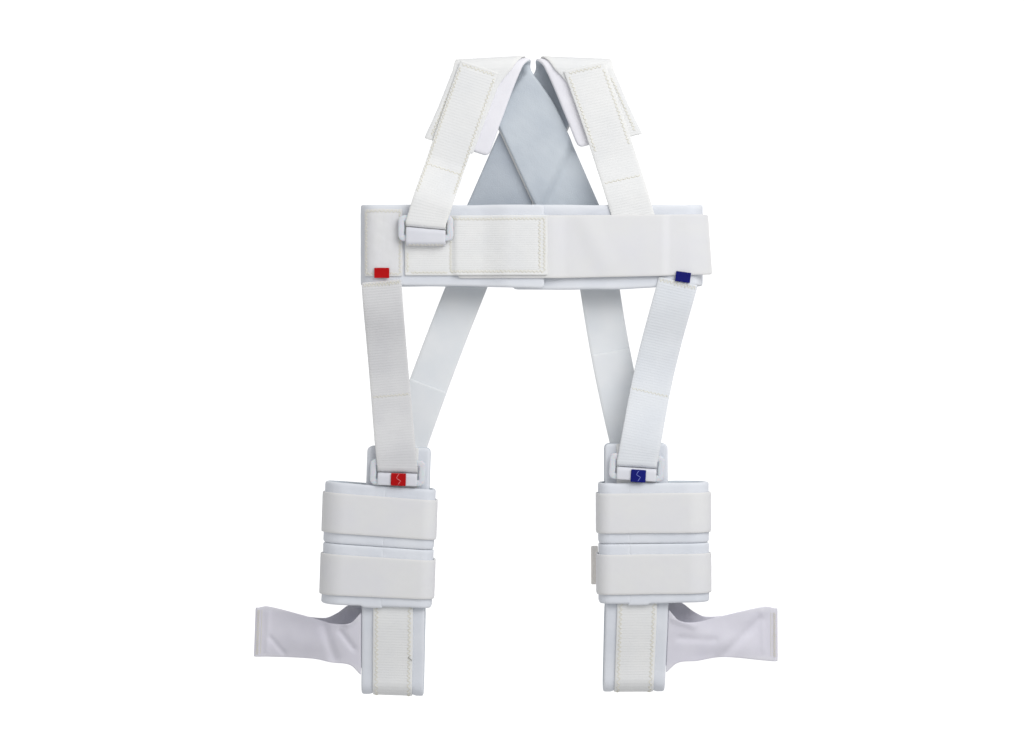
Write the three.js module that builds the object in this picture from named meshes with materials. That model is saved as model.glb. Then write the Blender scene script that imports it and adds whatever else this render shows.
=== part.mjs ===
// An infant hip harness, lying flat on its back side: a closed chest band, two shoulder straps that
// cross behind, two leg straps in front and two behind, and two soft boots.
// X runs across the chest, Y from the boots towards the shoulders and Z up from the surface.
// All lengths are in millimetres and all angles in degrees.
import * as THREE from "three";

// Thickness of each cloth, and the clearance between pieces
const FELT = 3;
const WEBBING = 1.3;
const SMOOTH = 1.2;
const KNIT = 1.2;
const RIBBON = 1;
const PATCH = 1;
const GAP = 0.3;

// Widths of the straps
const WIDE_STRAP = 38.1;
const NARROW_STRAP = 25.4;
const PAD_WIDTH = 40;

// Flat plastic rings and the tabs that hold them
const RING_BAR = 4;
const RING_WINDOW = 8.5;
const RING_SIDE_PLAY = 0.8;
const RING_THICKNESS = 2.2;
const RING_CORNER = 3.2;
const CHEST_TAB_FOOT = 5;

// Chest band, flattened to a loop
const CHEST_WIDTH = 219;
const CHEST_HEIGHT = 52;
const CHEST_OPENING = 12;
const CHEST_SHIFT = 10;
const CHEST_BACK_INSET = 7;
const LAP_STEP = 12;
const CHEST_REST = 62;
const CHEST_DROOP = 15;
const CHEST_RING_RISE = 10.8;
const CHEST_LOOP_SLANT = -0.09;

// Shoulder straps
const SHOULDER_RISE = 121.5;
const SHOULDER_SHIFT = 11;
const SHOULDER_SPREAD = 50.5;
const SHOULDER_FOLD = 4;
const STRAP_TOP_SPREAD = 66.6;
const STRAP_TOP_INSET = 7;
const STRAP_LEAN = 0.32;
const STRAP_BOW = 0.012;
const RIB_TURN = 0.7;
const CROSSING_FALL = 5;
const CROSSING_LANES = 9;
const CROSSING_CLEAR = 1.03;
const CROSSING_END = 1.04;
const CROSSING_FADE = 0.045;

// Leg straps
const LEG_STRAP_LAP = 3.5;
const REAR_STRAP_START = 11;

// Boots
const BOOT_SPREAD = 175.8;
const BOOT_DROP = 189;
const CUFF_WIDTH = 73.5;
const CUFF_PAD_HEIGHT = 38;
const CUFF_SLIT = 0.6;
const CUFF_CORNER = 4.5;
const CUFF_SIDE_PLAY = 1;
const CUFF_END_PLAY = 0.8;
const LEG_OPENING = 12;
const STIRRUP_WIDTH = 40;
const EAR_LENGTH = 25;
const SOLE_DROP = 96.1;
const SOLE_RADIUS = 7.2;
const HEEL_REACH = 69.5;
const HEEL_HEIGHT = 31;
const HEEL_RIPPLE = 1.2;

// Colour marks
const MARK_WIDTH = 9.5;
const MARK_HEIGHT = 6.5;
const BOOT_MARK_HEIGHT = 8;
const RED_MARK_DROP = 17.4;
const BLUE_MARK_DROP = 20;
const BLUE_MARK_TURN = -8;

// Where the crossing strap lies: its middle is a share of the shoulder spread and its width a share
// of the pad width. Mark 0 is its hidden lower end, 1 to 1.2 the shoulder fold and 2 the flap's end.
const CROSSING = [
  { at: 0, middle: -0.675, wide: 1.03, slant: 0 },
  { at: 0.243, middle: -0.427, wide: 1.04, slant: 0 },
  { at: 0.664, middle: -0.002, wide: 1.065, slant: 0 },
  { at: 0.815, middle: 0.162, wide: 1.065, slant: 0 },
  { at: 0.928, middle: 0.335, wide: 1.06, slant: 0 },
  { at: 1, middle: 0.462, wide: 1.065, slant: -0.1 },
  { at: 1.1, middle: 0.497, wide: 1.145, slant: -0.17 },
  { at: 1.2, middle: 0.573, wide: 1.068, slant: -0.1 },
  { at: 1.66, middle: 0.795, wide: 1.008, slant: 0.5 },
  { at: 2, middle: 0.962, wide: 1.0, slant: 1 },
];

// Each shoulder: its side, the length of its front flap and the slant of the flap's end
const SHOULDERS = [
  { name: "left", side: -1, flap: 49, slant: 0.33, over: true },
  { name: "right", side: 1, flap: 45, slant: 0.245, over: false },
];

// The chest strip's two edges as shares of its height: 0 and 5 are its ends, 2 to 3 its back
const CHEST_EDGES = [
  { at: 0, top: 0.5, bottom: -0.5, inset: 0 },
  { at: 1, top: 0.505, bottom: -0.49, inset: 0 },
  { at: 2, top: 0.5, bottom: -0.49, inset: 1 },
  { at: 3, top: 0.5, bottom: -0.49, inset: 1 },
  { at: 4, top: 0.485, bottom: -0.5, inset: 0 },
  { at: 5, top: 0.5, bottom: -0.5, inset: 0 },
];

// Places along the chest band, as shares of its width from its left end
const CHEST_PLACES = {
  patchLeft: 0.014,
  patchRight: 0.125,
  webbingLeft: 0.132,
  closureLeft: 0.287,
  underEnd: 0.4435,
  overEnd: 0.536,
  webbingRight: 0.545,
  closureRight: 1.018,
  ring: 0.193,
  redMark: 0.065,
  blueMark: 0.938,
  frontLegLeft: 0.0635,
  frontLegRight: 0.925,
  rearLegLeft: 0.335,
  rearLegRight: 0.69,
};

// Each boot: where it stands, how far it is turned, and how much its cuffs' edges tilt
const BOOTS = [
  { name: "left", side: -1, drop: 1.9, turn: -2, ringTurn: 0, upper: -0.043, slit: -0.033, lower: -0.003 },
  { name: "right", side: 1, drop: 0, turn: 0.3, ringTurn: -4, upper: 0.002, slit: 0.004, lower: 0.008 },
];

// Leg straps: face 1 lies in front and -1 behind, sag is how far it hangs in the middle, tail is
// the share that folds back, bow is a sideways bend as a share of its length
const LEG_STRAPS = [
  { name: "front_leg_strap_left", boot: 0, face: 1, place: "frontLegLeft", sag: 4, tail: 0.4, bow: -0.006 },
  { name: "front_leg_strap_right", boot: 1, face: 1, place: "frontLegRight", sag: 4, tail: 0.4, bow: -0.014 },
  { name: "rear_leg_strap_left", boot: 0, face: -1, place: "rearLegLeft", sag: 0, tail: 0.4, bow: -0.008 },
  { name: "rear_leg_strap_right", boot: 1, face: -1, place: "rearLegRight", sag: 0, tail: 0.56, bow: -0.014 },
];

// The heel cloth's edges as shares of its height, from the stirrup (0) round its seam (1) and back (2)
const HEEL_EDGES = [
  { at: 0, top: -0.11, bottom: -1.43 },
  { at: 0.1, top: -0.34, bottom: -1.23 },
  { at: 0.28, top: -0.38, bottom: -1.2 },
  { at: 0.45, top: -0.3, bottom: -1.15 },
  { at: 0.9, top: -0.12, bottom: -1.17 },
  { at: 1, top: -0.16, bottom: -1.18 },
  { at: 1.3, top: -0.26, bottom: -1.15 },
  { at: 1.63, top: -0.33, bottom: -1.13 },
  { at: 1.75, top: -0.22, bottom: -1.14 },
  { at: 1.87, top: -0.03, bottom: -1.2 },
  { at: 2, top: 0, bottom: -1.35 },
];

const FINISHES = {
  felt: { color: "#e6e6f0", roughness: 0.95, metalness: 0 },
  webbing: { color: "#ebebe9", roughness: 0.8, metalness: 0 },
  smooth: { color: "#e6e5e7", roughness: 0.75, metalness: 0 },
  knit: { color: "#e4e3ec", roughness: 0.9, metalness: 0 },
  ring: { color: "#f2f3f5", roughness: 0.25, metalness: 0 },
  red: { color: "#be0a14", roughness: 0.6, metalness: 0 },
  blue: { color: "#14146e", roughness: 0.6, metalness: 0 },
};

const { lerp, clamp, smoothstep, degToRad } = THREE.MathUtils;
const ease = (share) => smoothstep(share, 0, 1);

// Levels of a pile of layers, from its bottom up, with the clearance between them
function pile(bottom, layers) {
  const levels = {};
  let low = bottom;
  for (const [name, thickness] of Object.entries(layers)) {
    levels[name] = { low, high: low + thickness, middle: low + thickness / 2 };
    low += thickness + GAP;
  }
  return levels;
}

// A smooth curve through one column of a table, read at a mark
function read(rows, column, at) {
  const mark = clamp(at, rows[0].at, rows.at(-1).at);
  const found = rows.findIndex((row) => row.at > mark);
  const next = found < 0 ? rows.length - 1 : found;
  const slope = (i) => {
    const [before, after] = [rows[Math.max(i - 1, 0)], rows[Math.min(i + 1, rows.length - 1)]];
    return (after[column] - before[column]) / (after.at - before.at);
  };
  const [a, b] = [rows[next - 1], rows[next]];
  const span = b.at - a.at;
  const s = (mark - a.at) / span;
  const bend = s * (1 - s) * span * ((1 - s) * slope(next - 1) - s * slope(next));
  return lerp(a[column], b[column], ease(s)) + bend;
}

// The side view of a strip. Each point holds how far it has run, its height, and a mark that says
// where it is in the plan view.
class Route {
  constructor(run, height, mark = 0) {
    this.points = [{ run, height, mark }];
  }

  add(run, height, mark) {
    this.points.push({ run, height, mark });
    return this;
  }

  to(run, height, mark, steps = 1) {
    const from = this.points.at(-1);
    for (let i = 1; i <= steps; i++) {
      const s = i / steps;
      this.add(lerp(from.run, run, s), lerp(from.height, height, ease(s)), lerp(from.mark, mark, s));
    }
    return this;
  }

  fold(run, height, degrees, mark, steps = 6) {
    const from = this.points.at(-1);
    const centre = new THREE.Vector2(run, height);
    for (let i = 1; i <= steps; i++) {
      const s = i / steps;
      const swung = new THREE.Vector2(from.run, from.height).rotateAround(centre, degToRad(degrees * s));
      this.add(swung.x, swung.y, lerp(from.mark, mark, s));
    }
    return this;
  }
}

// The direction out of a strip's left face at one point of its route, lengthened at a corner so
// that the layers keep their thickness
function outward(points, i) {
  const heading = (from, to) => new THREE.Vector2(to.run - from.run, to.height - from.height).normalize();
  const before = heading(points[Math.max(i - 1, 0)], points[Math.max(i, 1)]);
  const after = heading(points[Math.min(i, points.length - 2)], points[Math.min(i + 1, points.length - 1)]);
  const corner = 1 + before.dot(after);
  return new THREE.Vector2(-(before.y + after.y) / corner, (before.x + after.x) / corner);
}

// A closed solid from two skins of the same grid of points
function closedSheet(rows, columns, pointAt) {
  const positions = [];
  const skin = (rows + 1) * (columns + 1);
  for (const face of [0, 1])
    for (let i = 0; i <= rows; i++)
      for (let j = 0; j <= columns; j++) positions.push(...pointAt(i, j, face));
  const at = (i, j, face) => face * skin + i * (columns + 1) + j;
  const triangles = [];
  const quad = (a, b, c, d) => triangles.push([a, b, c], [a, c, d]);
  for (let i = 0; i < rows; i++)
    for (let j = 0; j < columns; j++) {
      quad(at(i, j, 1), at(i + 1, j, 1), at(i + 1, j + 1, 1), at(i, j + 1, 1));
      quad(at(i, j, 0), at(i, j + 1, 0), at(i + 1, j + 1, 0), at(i + 1, j, 0));
    }
  for (let i = 0; i < rows; i++) {
    quad(at(i, 0, 0), at(i + 1, 0, 0), at(i + 1, 0, 1), at(i, 0, 1));
    quad(at(i, columns, 0), at(i, columns, 1), at(i + 1, columns, 1), at(i + 1, columns, 0));
  }
  for (let j = 0; j < columns; j++) {
    quad(at(0, j, 0), at(0, j, 1), at(0, j + 1, 1), at(0, j + 1, 0));
    quad(at(rows, j, 0), at(rows, j + 1, 0), at(rows, j + 1, 1), at(rows, j, 1));
  }
  return facingOut(positions, triangles);
}

// A geometry whose triangles face outwards, whichever way they were wound
function facingOut(positions, triangles) {
  const corner = (k) => new THREE.Vector3().fromArray(positions, 3 * k);
  const volume = triangles.reduce((sum, [a, b, c]) => sum + corner(a).dot(corner(b).cross(corner(c))), 0);
  const wound = volume < 0 ? triangles.map(([a, b, c]) => [a, c, b]) : triangles;
  const geometry = new THREE.BufferGeometry();
  geometry.setAttribute("position", new THREE.Float32BufferAttribute(positions, 3));
  geometry.setIndex(wound.flat());
  geometry.computeVertexNormals();
  return geometry;
}

function piece(name, finish, geometry) {
  const mesh = new THREE.Mesh(geometry, new THREE.MeshStandardMaterial(FINISHES[finish]));
  mesh.name = name;
  return mesh;
}

// A strip of cloth along a route. Its two edges are read at each mark, and low and high say how far
// its faces lie out from the route. A strip that runs across has its length along X. A strip with a
// core has its inner lanes on a narrower strip's, so that the facets of the two keep parallel.
function strip(name, finish, route, { low, high, edges, lanes = 1, lift = () => 0, across = false }) {
  const { points } = route;
  const geometry = closedSheet(points.length - 1, lanes, (i, j, face) => {
    const { run, height, mark } = points[i];
    const out = outward(points, i).multiplyScalar(face ? high : low);
    const { from, to, slant = 0, core } = edges(mark);
    const inner = core ? clamp((j - 1) / (lanes - 2), 0, 1) : j / lanes;
    const lane = core ? lerp(core.from, core.to, inner) : lerp(from, to, inner);
    const side = j === 0 ? from : j === lanes ? to : lane;
    const along = run + out.x + slant * (side - (from + to) / 2);
    const [x, y, z] = across ? [along, side, height + out.y] : [side, along, height + out.y];
    return [x, y, z + lift(x, y, z)];
  });
  return piece(name, finish, geometry);
}

const around = (middle, width, slant = 0) => ({ from: middle - width / 2, to: middle + width / 2, slant });
const centred = (thickness) => ({ low: -thickness / 2, high: thickness / 2 });
const outside = (inner, thickness) => ({ low: inner / 2 + GAP, high: inner / 2 + GAP + thickness });

// Levels of the piles that the pieces lie in
const pad = pile(0, { webbing: WEBBING, felt: FELT });
const chest = pile(pad.felt.high + GAP, { back: FELT, body: CHEST_OPENING, under: FELT, over: FELT });
const onUnder = pile(chest.under.high + GAP, { webbing: WEBBING });
const ringPile = { under: WEBBING, ring: RING_THICKNESS, over: WEBBING };
const boot = pile(0, {
  backBand: SMOOTH,
  backPad: FELT,
  rearWebbing: WEBBING,
  rearFelt: FELT,
  leg: LEG_OPENING,
  frontFelt: FELT,
  frontWebbing: WEBBING,
  frontPad: FELT,
  frontBand: SMOOTH,
});
const chestRingPile = pile(onUnder.webbing.high + GAP, ringPile);
const frontRingPile = pile(boot.frontWebbing.high + GAP, ringPile);
const rearEar = pile(0, {
  over: WEBBING,
  ring: RING_THICKNESS,
  under: WEBBING,
  webbing: WEBBING,
  felt: FELT,
});

// Rings
const RING_WIDTH = NARROW_STRAP + 2 * (RING_SIDE_PLAY + RING_BAR);
const RING_HEIGHT = RING_WINDOW + 2 * RING_BAR;
const LOOP_RADIUS = (RING_THICKNESS + WEBBING) / 2 + GAP;
const LOOP_OUTSIDE = LOOP_RADIUS + WEBBING / 2;
const LOOP_CENTRE = LOOP_OUTSIDE + GAP / 2;

function roundedRectangle(shape, width, height, corner) {
  const [x, y] = [width / 2 - corner, height / 2 - corner];
  shape.absarc(x, y, corner, 0, Math.PI / 2);
  shape.absarc(-x, y, corner, Math.PI / 2, Math.PI);
  shape.absarc(-x, -y, corner, Math.PI, 1.5 * Math.PI);
  shape.absarc(x, -y, corner, 1.5 * Math.PI, 2 * Math.PI);
  return shape;
}

function ring(name, { x, y, turn, levels }) {
  const outline = roundedRectangle(new THREE.Shape(), RING_WIDTH, RING_HEIGHT, RING_CORNER);
  const [width, height] = [RING_WIDTH - 2 * RING_BAR, RING_HEIGHT - 2 * RING_BAR];
  outline.holes.push(roundedRectangle(new THREE.Path(), width, height, RING_CORNER / 3));
  const mesh = piece(name, "ring", new THREE.ExtrudeGeometry(outline, {
    depth: RING_THICKNESS,
    bevelEnabled: false,
    curveSegments: 3,
  }));
  mesh.position.set(x, y, levels.ring.low);
  mesh.rotation.z = degToRad(turn);
  return mesh;
}

// A tab folded round a ring's lower bar. Its foot, where it has one, is sewn down below the ring.
function ringTab(name, { x, y, turn, levels, face }, foot, slant) {
  const [over, under] = [levels.over.middle, levels.under.middle];
  const bar = -RING_HEIGHT / 2;
  const fold = -LOOP_CENTRE;
  const end = bar - foot;
  const route = new Route(end, foot > 0 ? under + face * (WEBBING + GAP) : over, 0);
  if (foot > 0) route.to(bar - WEBBING / 2, over, 0.2, 5);
  route.to(fold, over, 0.5, 2).fold(fold, levels.ring.middle, -180 * face, 0.6).to(end, under, 1, 2);
  const edges = (mark) => around(0, NARROW_STRAP, slant * ease(1 - Math.abs(mark - 0.55) / 0.2));
  const mesh = strip(name, "smooth", route, { ...centred(WEBBING), edges });
  mesh.position.set(x, y, 0);
  mesh.rotation.z = degToRad(turn);
  return mesh;
}

// A strap from its sewn start down to a ring: it passes over the ring's upper bar, folds through the
// window and runs back as a tail against its own inner face
function ringStrap(name, { start, heights, target, tail, bow, face, slant }) {
  const foldY = target.y + LOOP_CENTRE;
  const length = start.y - foldY;
  const lean = (start.x - target.x) / length;
  const skew = (Math.abs(lean) * NARROW_STRAP) / 2;
  const clear = 1 - (RING_HEIGHT / 2 + WEBBING + skew - LOOP_CENTRE) / length;
  const closed = clear - (2 * LOOP_RADIUS) / length;
  const { over, ring: bar } = target.levels;
  const rows = [...heights, { at: clear, height: over.middle }, { at: 1, height: over.middle }];
  const heightAt = (mark) => {
    const next = Math.max(rows.findIndex((row) => row.at >= mark), 1);
    const [a, b] = [rows[next - 1], rows[next]];
    return lerp(a.height, b.height, ease((mark - a.at) / (b.at - a.at)));
  };
  const route = new Route(start.y, start.height);
  const steps = 16;
  for (let i = 1; i <= steps; i++) {
    const mark = i < steps ? lerp(0, clear, i / (steps - 1)) : 1;
    route.add(lerp(start.y, foldY, mark), heightAt(mark), mark);
  }
  route.fold(foldY, bar.middle, 180 * face, 1);
  const marks = [clear, lerp(clear, closed, 0.5), closed];
  for (let i = 1; i <= 6; i++) marks.push(lerp(closed, 1 - tail, i / 6));
  for (const mark of marks) {
    const apart = lerp(WEBBING + GAP, 2 * LOOP_RADIUS, ease((mark - closed) / (clear - closed)));
    route.add(lerp(start.y, foldY, mark), heightAt(mark) - face * apart, mark);
  }
  const edges = (mark) => {
    const bend = bow * length * Math.sin(Math.PI * mark);
    const near = ease((mark - closed) / (1 - closed));
    const wide = NARROW_STRAP * lerp(Math.cos(Math.atan(lean)), 1, near);
    return around(lerp(start.x, target.x, mark) + bend, wide, lerp(-lean, slant, near));
  };
  return strip(name, "webbing", route, { ...centred(WEBBING), edges });
}

// Chest band
const chestLeft = CHEST_SHIFT - CHEST_WIDTH / 2;
const chestRight = CHEST_SHIFT + CHEST_WIDTH / 2;
const placeX = (name) => chestLeft + CHEST_PLACES[name] * CHEST_WIDTH;
const chestRadius = (chest.under.middle - FELT / 2) / 2;
const chestMiddle = FELT / 2 + chestRadius;
const chestBend = chestRadius + FELT / 2;
const lapEnd = placeX("underEnd") - GAP;
const lapStart = lapEnd - LAP_STEP;
const lapRise = FELT + GAP;

// The band's back rests on the crossed straps above and on the rear leg straps below
function chestBackLift(x, y, z) {
  if (z > chestMiddle) return 0;
  const inside = 1 - ease((Math.abs(x - CHEST_SHIFT) - CHEST_REST) / CHEST_DROOP);
  const low = WEBBING + GAP;
  const onPads = ease((y + REAR_STRAP_START - 2) / (REAR_STRAP_START - 4));
  return inside * lerp(low, pad.felt.high + GAP, onPads) * ease((chestMiddle - z) / chestRadius);
}

function chestPad() {
  const [front, back] = [chest.under.middle, FELT / 2];
  const route = new Route(placeX("underEnd"), front, 0)
    .to(chestRight - chestBend, front, 1, 2)
    .fold(chestRight - chestBend, chestMiddle, -180, 2, 8)
    .to(CHEST_SHIFT + CHEST_REST + CHEST_DROOP, back, 2.1, 1)
    .to(CHEST_SHIFT + CHEST_REST, back, 2.2, 4)
    .to(CHEST_SHIFT - CHEST_REST, back, 2.8, 4)
    .to(CHEST_SHIFT - CHEST_REST - CHEST_DROOP, back, 2.9, 4)
    .to(chestLeft + chestBend, back, 3, 1)
    .fold(chestLeft + chestBend, chestMiddle, -180, 4, 8)
    .to(lapStart, front, 4.5, 2)
    .to(lapEnd, front + lapRise, 4.7, 5)
    .to(placeX("overEnd"), front + lapRise, 5, 1);
  const edges = (mark) => ({
    from: CHEST_HEIGHT * read(CHEST_EDGES, "bottom", mark),
    to: CHEST_HEIGHT * read(CHEST_EDGES, "top", mark) - CHEST_BACK_INSET * read(CHEST_EDGES, "inset", mark),
  });
  const shape = { ...centred(FELT), edges, lanes: 6, lift: chestBackLift, across: true };
  return strip("chest_pad", "felt", route, shape);
}

function chestWebbing() {
  const low = onUnder.webbing.middle;
  const raised = low + SMOOTH + GAP;
  const ramp = placeX("closureLeft");
  const route = new Route(placeX("webbingLeft"), low, 0)
    .to(ramp - SMOOTH * 4, low, 0.4, 1)
    .to(ramp - GAP, raised, 0.5, 4)
    .to(lapStart, raised, 0.6, 1)
    .to(lapEnd, raised + lapRise, 0.8, 5)
    .to(placeX("webbingRight"), raised + lapRise, 1, 1);
  const edges = () => around(0, WIDE_STRAP);
  return strip("chest_webbing", "webbing", route, { ...centred(WEBBING), edges, across: true });
}

function chestClosure() {
  const low = chest.under.high + GAP + SMOOTH / 2;
  const overStrap = onUnder.webbing.high + GAP + SMOOTH / 2;
  const drop = placeX("webbingRight") + 1;
  const strapClear = shoulderStrapFoot().x + NARROW_STRAP / 2 + 2;
  const route = new Route(placeX("closureLeft"), low, 0)
    .to(lapStart, low, 0.1, 1)
    .to(lapEnd, low + lapRise, 0.15, 5)
    .to(drop, low + lapRise, 0.2, 1)
    .to(drop + LAP_STEP, overStrap, 0.3, 5)
    .to(strapClear, overStrap, 0.7, 1)
    .to(strapClear + LAP_STEP / 2, low, 0.8, 4)
    .to(chestRight - chestBend, low, 0.9, 1)
    .to(placeX("closureRight"), low - SMOOTH, 1, 4);
  const edges = () => around(0, WIDE_STRAP);
  return strip("chest_closure", "smooth", route, { ...centred(SMOOTH), edges, across: true });
}

function pilePatch() {
  const face = chest.under.high + GAP + PATCH / 2;
  const bendX = chestLeft + chestBend;
  const reach = Math.asin((bendX - placeX("patchLeft")) / (face - chestMiddle));
  const route = new Route(placeX("patchRight"), face, 0)
    .to(bendX, face, 0.5, 1)
    .fold(bendX, chestMiddle, THREE.MathUtils.radToDeg(reach), 1, 4);
  const edges = () => ({ from: -0.375 * CHEST_HEIGHT, to: 0.45 * CHEST_HEIGHT });
  return strip("pile_patch", "webbing", route, { ...centred(PATCH), edges, across: true });
}

// A flat ribbon mark lying on the level below it
function mark(name, finish, { x, y, level, width = MARK_WIDTH, height = MARK_HEIGHT, turn = 0 }) {
  const mesh = piece(name, finish, new THREE.BoxGeometry(width, height, RIBBON));
  mesh.position.set(x, y, level + GAP + RIBBON / 2);
  mesh.rotation.z = degToRad(turn);
  return mesh;
}

const chestRing = {
  x: placeX("ring"),
  y: CHEST_RING_RISE,
  turn: 0,
  levels: chestRingPile,
  face: 1,
};

// Shoulders
const foldOutside = SHOULDER_FOLD + FELT + GAP + WEBBING;
const foldY = SHOULDER_RISE - foldOutside;
const foldRadius = SHOULDER_FOLD + FELT / 2;
const flapLevel = pad.felt.middle + 2 * foldRadius;
const strapOnFlap = flapLevel + FELT / 2 + GAP + WEBBING + GAP + WEBBING / 2;

const crossingMiddle = (side, at) => SHOULDER_SHIFT + side * SHOULDER_SPREAD * read(CROSSING, "middle", at);
const crossingWidth = (at, width) => width * read(CROSSING, "wide", at);

// The left crossing strap rides up over the right one
function crossingLift(x, y, z) {
  const reach = Math.max(y / foldY, 0);
  const at = Math.min(reach, 1);
  const away = Math.abs(x - crossingMiddle(1, at)) - crossingWidth(at, PAD_WIDTH) / 2;
  const lane = (CROSSING_CLEAR * crossingWidth(at, PAD_WIDTH)) / CROSSING_LANES;
  const over = 1 - ease((away - lane) / CROSSING_FALL);
  const belowFold = ease((CROSSING_END - reach) / CROSSING_FADE);
  const onBack = ease((pad.felt.middle + foldRadius - z) / (foldRadius - FELT));
  return (pad.felt.high + GAP) * over * belowFold * onBack;
}

function shoulder({ name, side, flap, slant, over }) {
  const level = pad.felt.middle;
  const route = new Route(0, level, 0)
    .to(foldY, level, 1, over ? 24 : 10)
    .fold(foldY, level + foldRadius, 180, 1.2, 8)
    .to(foldY - flap, flapLevel, 2, 6);
  const edgesFor = (width, core) => (at) => {
    const middle = crossingMiddle(side, at);
    const edges = around(middle, crossingWidth(at, width), side * slant * read(CROSSING, "slant", at));
    return core ? { ...edges, core: around(middle, crossingWidth(at, core)) } : edges;
  };
  const lanes = over ? CROSSING_LANES : 2;
  const lift = over ? crossingLift : undefined;
  const felt = { ...centred(FELT), edges: edgesFor(PAD_WIDTH, WIDE_STRAP), lanes: lanes + 2, lift };
  const faces = { low: -outside(FELT, WEBBING).high, high: -outside(FELT, WEBBING).low };
  const webbing = { ...faces, edges: edgesFor(WIDE_STRAP), lanes, lift };
  return [
    strip("shoulder_pad_" + name, "felt", route, felt),
    strip("shoulder_webbing_" + name, "webbing", route, webbing),
  ];
}

const shoulderStrapTop = (side) => ({
  x: CHEST_SHIFT + (side * STRAP_TOP_SPREAD) / 2,
  y: SHOULDER_RISE - STRAP_TOP_INSET,
  height: strapOnFlap,
});

// The right front strap ends under the closure strap
function shoulderStrapFoot() {
  const top = shoulderStrapTop(1);
  const y = 0.15 * CHEST_HEIGHT;
  return { x: top.x + STRAP_LEAN * (top.y - y), y, height: onUnder.webbing.middle };
}

function leftShoulderStrap() {
  const start = shoulderStrapTop(-1);
  const length = start.y - chestRing.y;
  const flapEnd = (start.y - foldY + SHOULDERS[0].flap + 0.25 * PAD_WIDTH) / length;
  return ringStrap("front_shoulder_strap_left", {
    start,
    heights: [{ at: 0, height: strapOnFlap }, { at: flapEnd, height: strapOnFlap }],
    target: chestRing,
    tail: 0.36,
    bow: -0.006,
    face: 1,
    slant: CHEST_LOOP_SLANT,
  });
}

function rightShoulderStrap() {
  const [top, foot] = [shoulderStrapTop(1), shoulderStrapFoot()];
  const lean = (foot.x - top.x) / (top.y - foot.y);
  const flapEnd = foldY - SHOULDERS[1].flap - 0.2 * PAD_WIDTH;
  const route = new Route(top.y, top.height, 0)
    .to(flapEnd, strapOnFlap, (top.y - flapEnd) / (top.y - foot.y), 4)
    .to(CHEST_HEIGHT / 2 + FELT, foot.height, (top.y - CHEST_HEIGHT / 2 - FELT) / (top.y - foot.y), 8)
    .to(foot.y, foot.height, 1, 2);
  const wide = NARROW_STRAP / Math.sqrt(Math.cos(Math.atan(lean)));
  const edges = (at) => {
    const bow = STRAP_BOW * (top.y - foot.y) * Math.sin(Math.PI * at);
    return around(lerp(top.x, foot.x, at) + bow, wide, RIB_TURN * lean);
  };
  return strip("front_shoulder_strap_right", "webbing", route, { ...centred(WEBBING), edges });
}

// Boots, each in its own frame: the origin is the middle of the slit between the cuffs, and the
// outer side, where the heel cloth is, lies towards side
const cuffTop = CUFF_SLIT / 2 + CUFF_PAD_HEIGHT;
const cuffWall = FELT + GAP + SMOOTH;
const stirrupMiddle = -CUFF_WIDTH / 2 + cuffWall + CUFF_SIDE_PLAY + STIRRUP_WIDTH / 2;
const ringSeat = cuffTop + CUFF_END_PLAY + RING_HEIGHT / 2;
const soleY = -SOLE_DROP + outside(FELT, WEBBING).high + SOLE_RADIUS;
const rearFloor = pad.felt.middle;
const stirrupDrop = cuffTop + 2.5 * FELT;

function stirrupRoute() {
  const [rear, front] = [boot.rearFelt.middle, boot.frontFelt.middle];
  const clear = cuffTop + GAP;
  return new Route(cuffTop + EAR_LENGTH, rearEar.felt.middle, 0)
    .to(cuffTop, rearEar.felt.middle, 0.1, 1)
    .to(cuffTop / 2, rear, 0.2, 3)
    .to(-clear, rear, 0.3, 1)
    .to(-stirrupDrop, rearFloor, 0.4, 5)
    .to(soleY, rearFloor, 0.5, 2)
    .fold(soleY, rearFloor + SOLE_RADIUS, -180, 0.6, 8)
    .to(-clear, front, 0.75, 6)
    .to(cuffTop + EAR_LENGTH, front, 1, 2);
}

// The front of the stirrup as the heel cloth meets it
function stirrupFront(y) {
  const share = (y - soleY) / (-cuffTop - GAP - soleY);
  return lerp(rearFloor + 2 * SOLE_RADIUS, boot.frontFelt.middle, ease(share));
}

// A cuff goes round both layers of the stirrup: a round outer side, and an inner side with two
// corners that runs close past the stirrup's edge. Its ends meet in front or behind.
function cuffRoute(seam, seamInFront) {
  const [back, front] = [boot.backPad.middle, boot.frontPad.middle];
  const radius = (front - back) / 2;
  const skin = FELT / 2 + GAP + SMOOTH;
  const outer = CUFF_WIDTH / 2 - skin - radius;
  const inner = -CUFF_WIDTH / 2 + skin;
  const corner = CUFF_CORNER + FELT / 2;
  const outerSide = (route) => route.to(outer, front, 0).fold(outer, back + radius, -180, 0, 10);
  const innerSide = (route) =>
    route
      .to(inner + corner, back, 0)
      .fold(inner + corner, back + corner, -90, 0, 4)
      .to(inner, front - corner, 0)
      .fold(inner + corner, front - corner, -90, 0, 4);
  const start = new Route(seam + GAP * (seamInFront ? 1 : -1), seamInFront ? front : back);
  const whole = seamInFront ? innerSide(outerSide(start)) : outerSide(innerSide(start));
  return whole.to(seam + GAP * (seamInFront ? -1 : 1), seamInFront ? front : back, 0);
}

function mirrored(route, side) {
  const copy = new Route(side * route.points[0].run, route.points[0].height, route.points[0].mark);
  for (const { run, height, mark: at } of route.points.slice(1)) copy.add(side * run, height, at);
  return copy;
}

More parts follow.
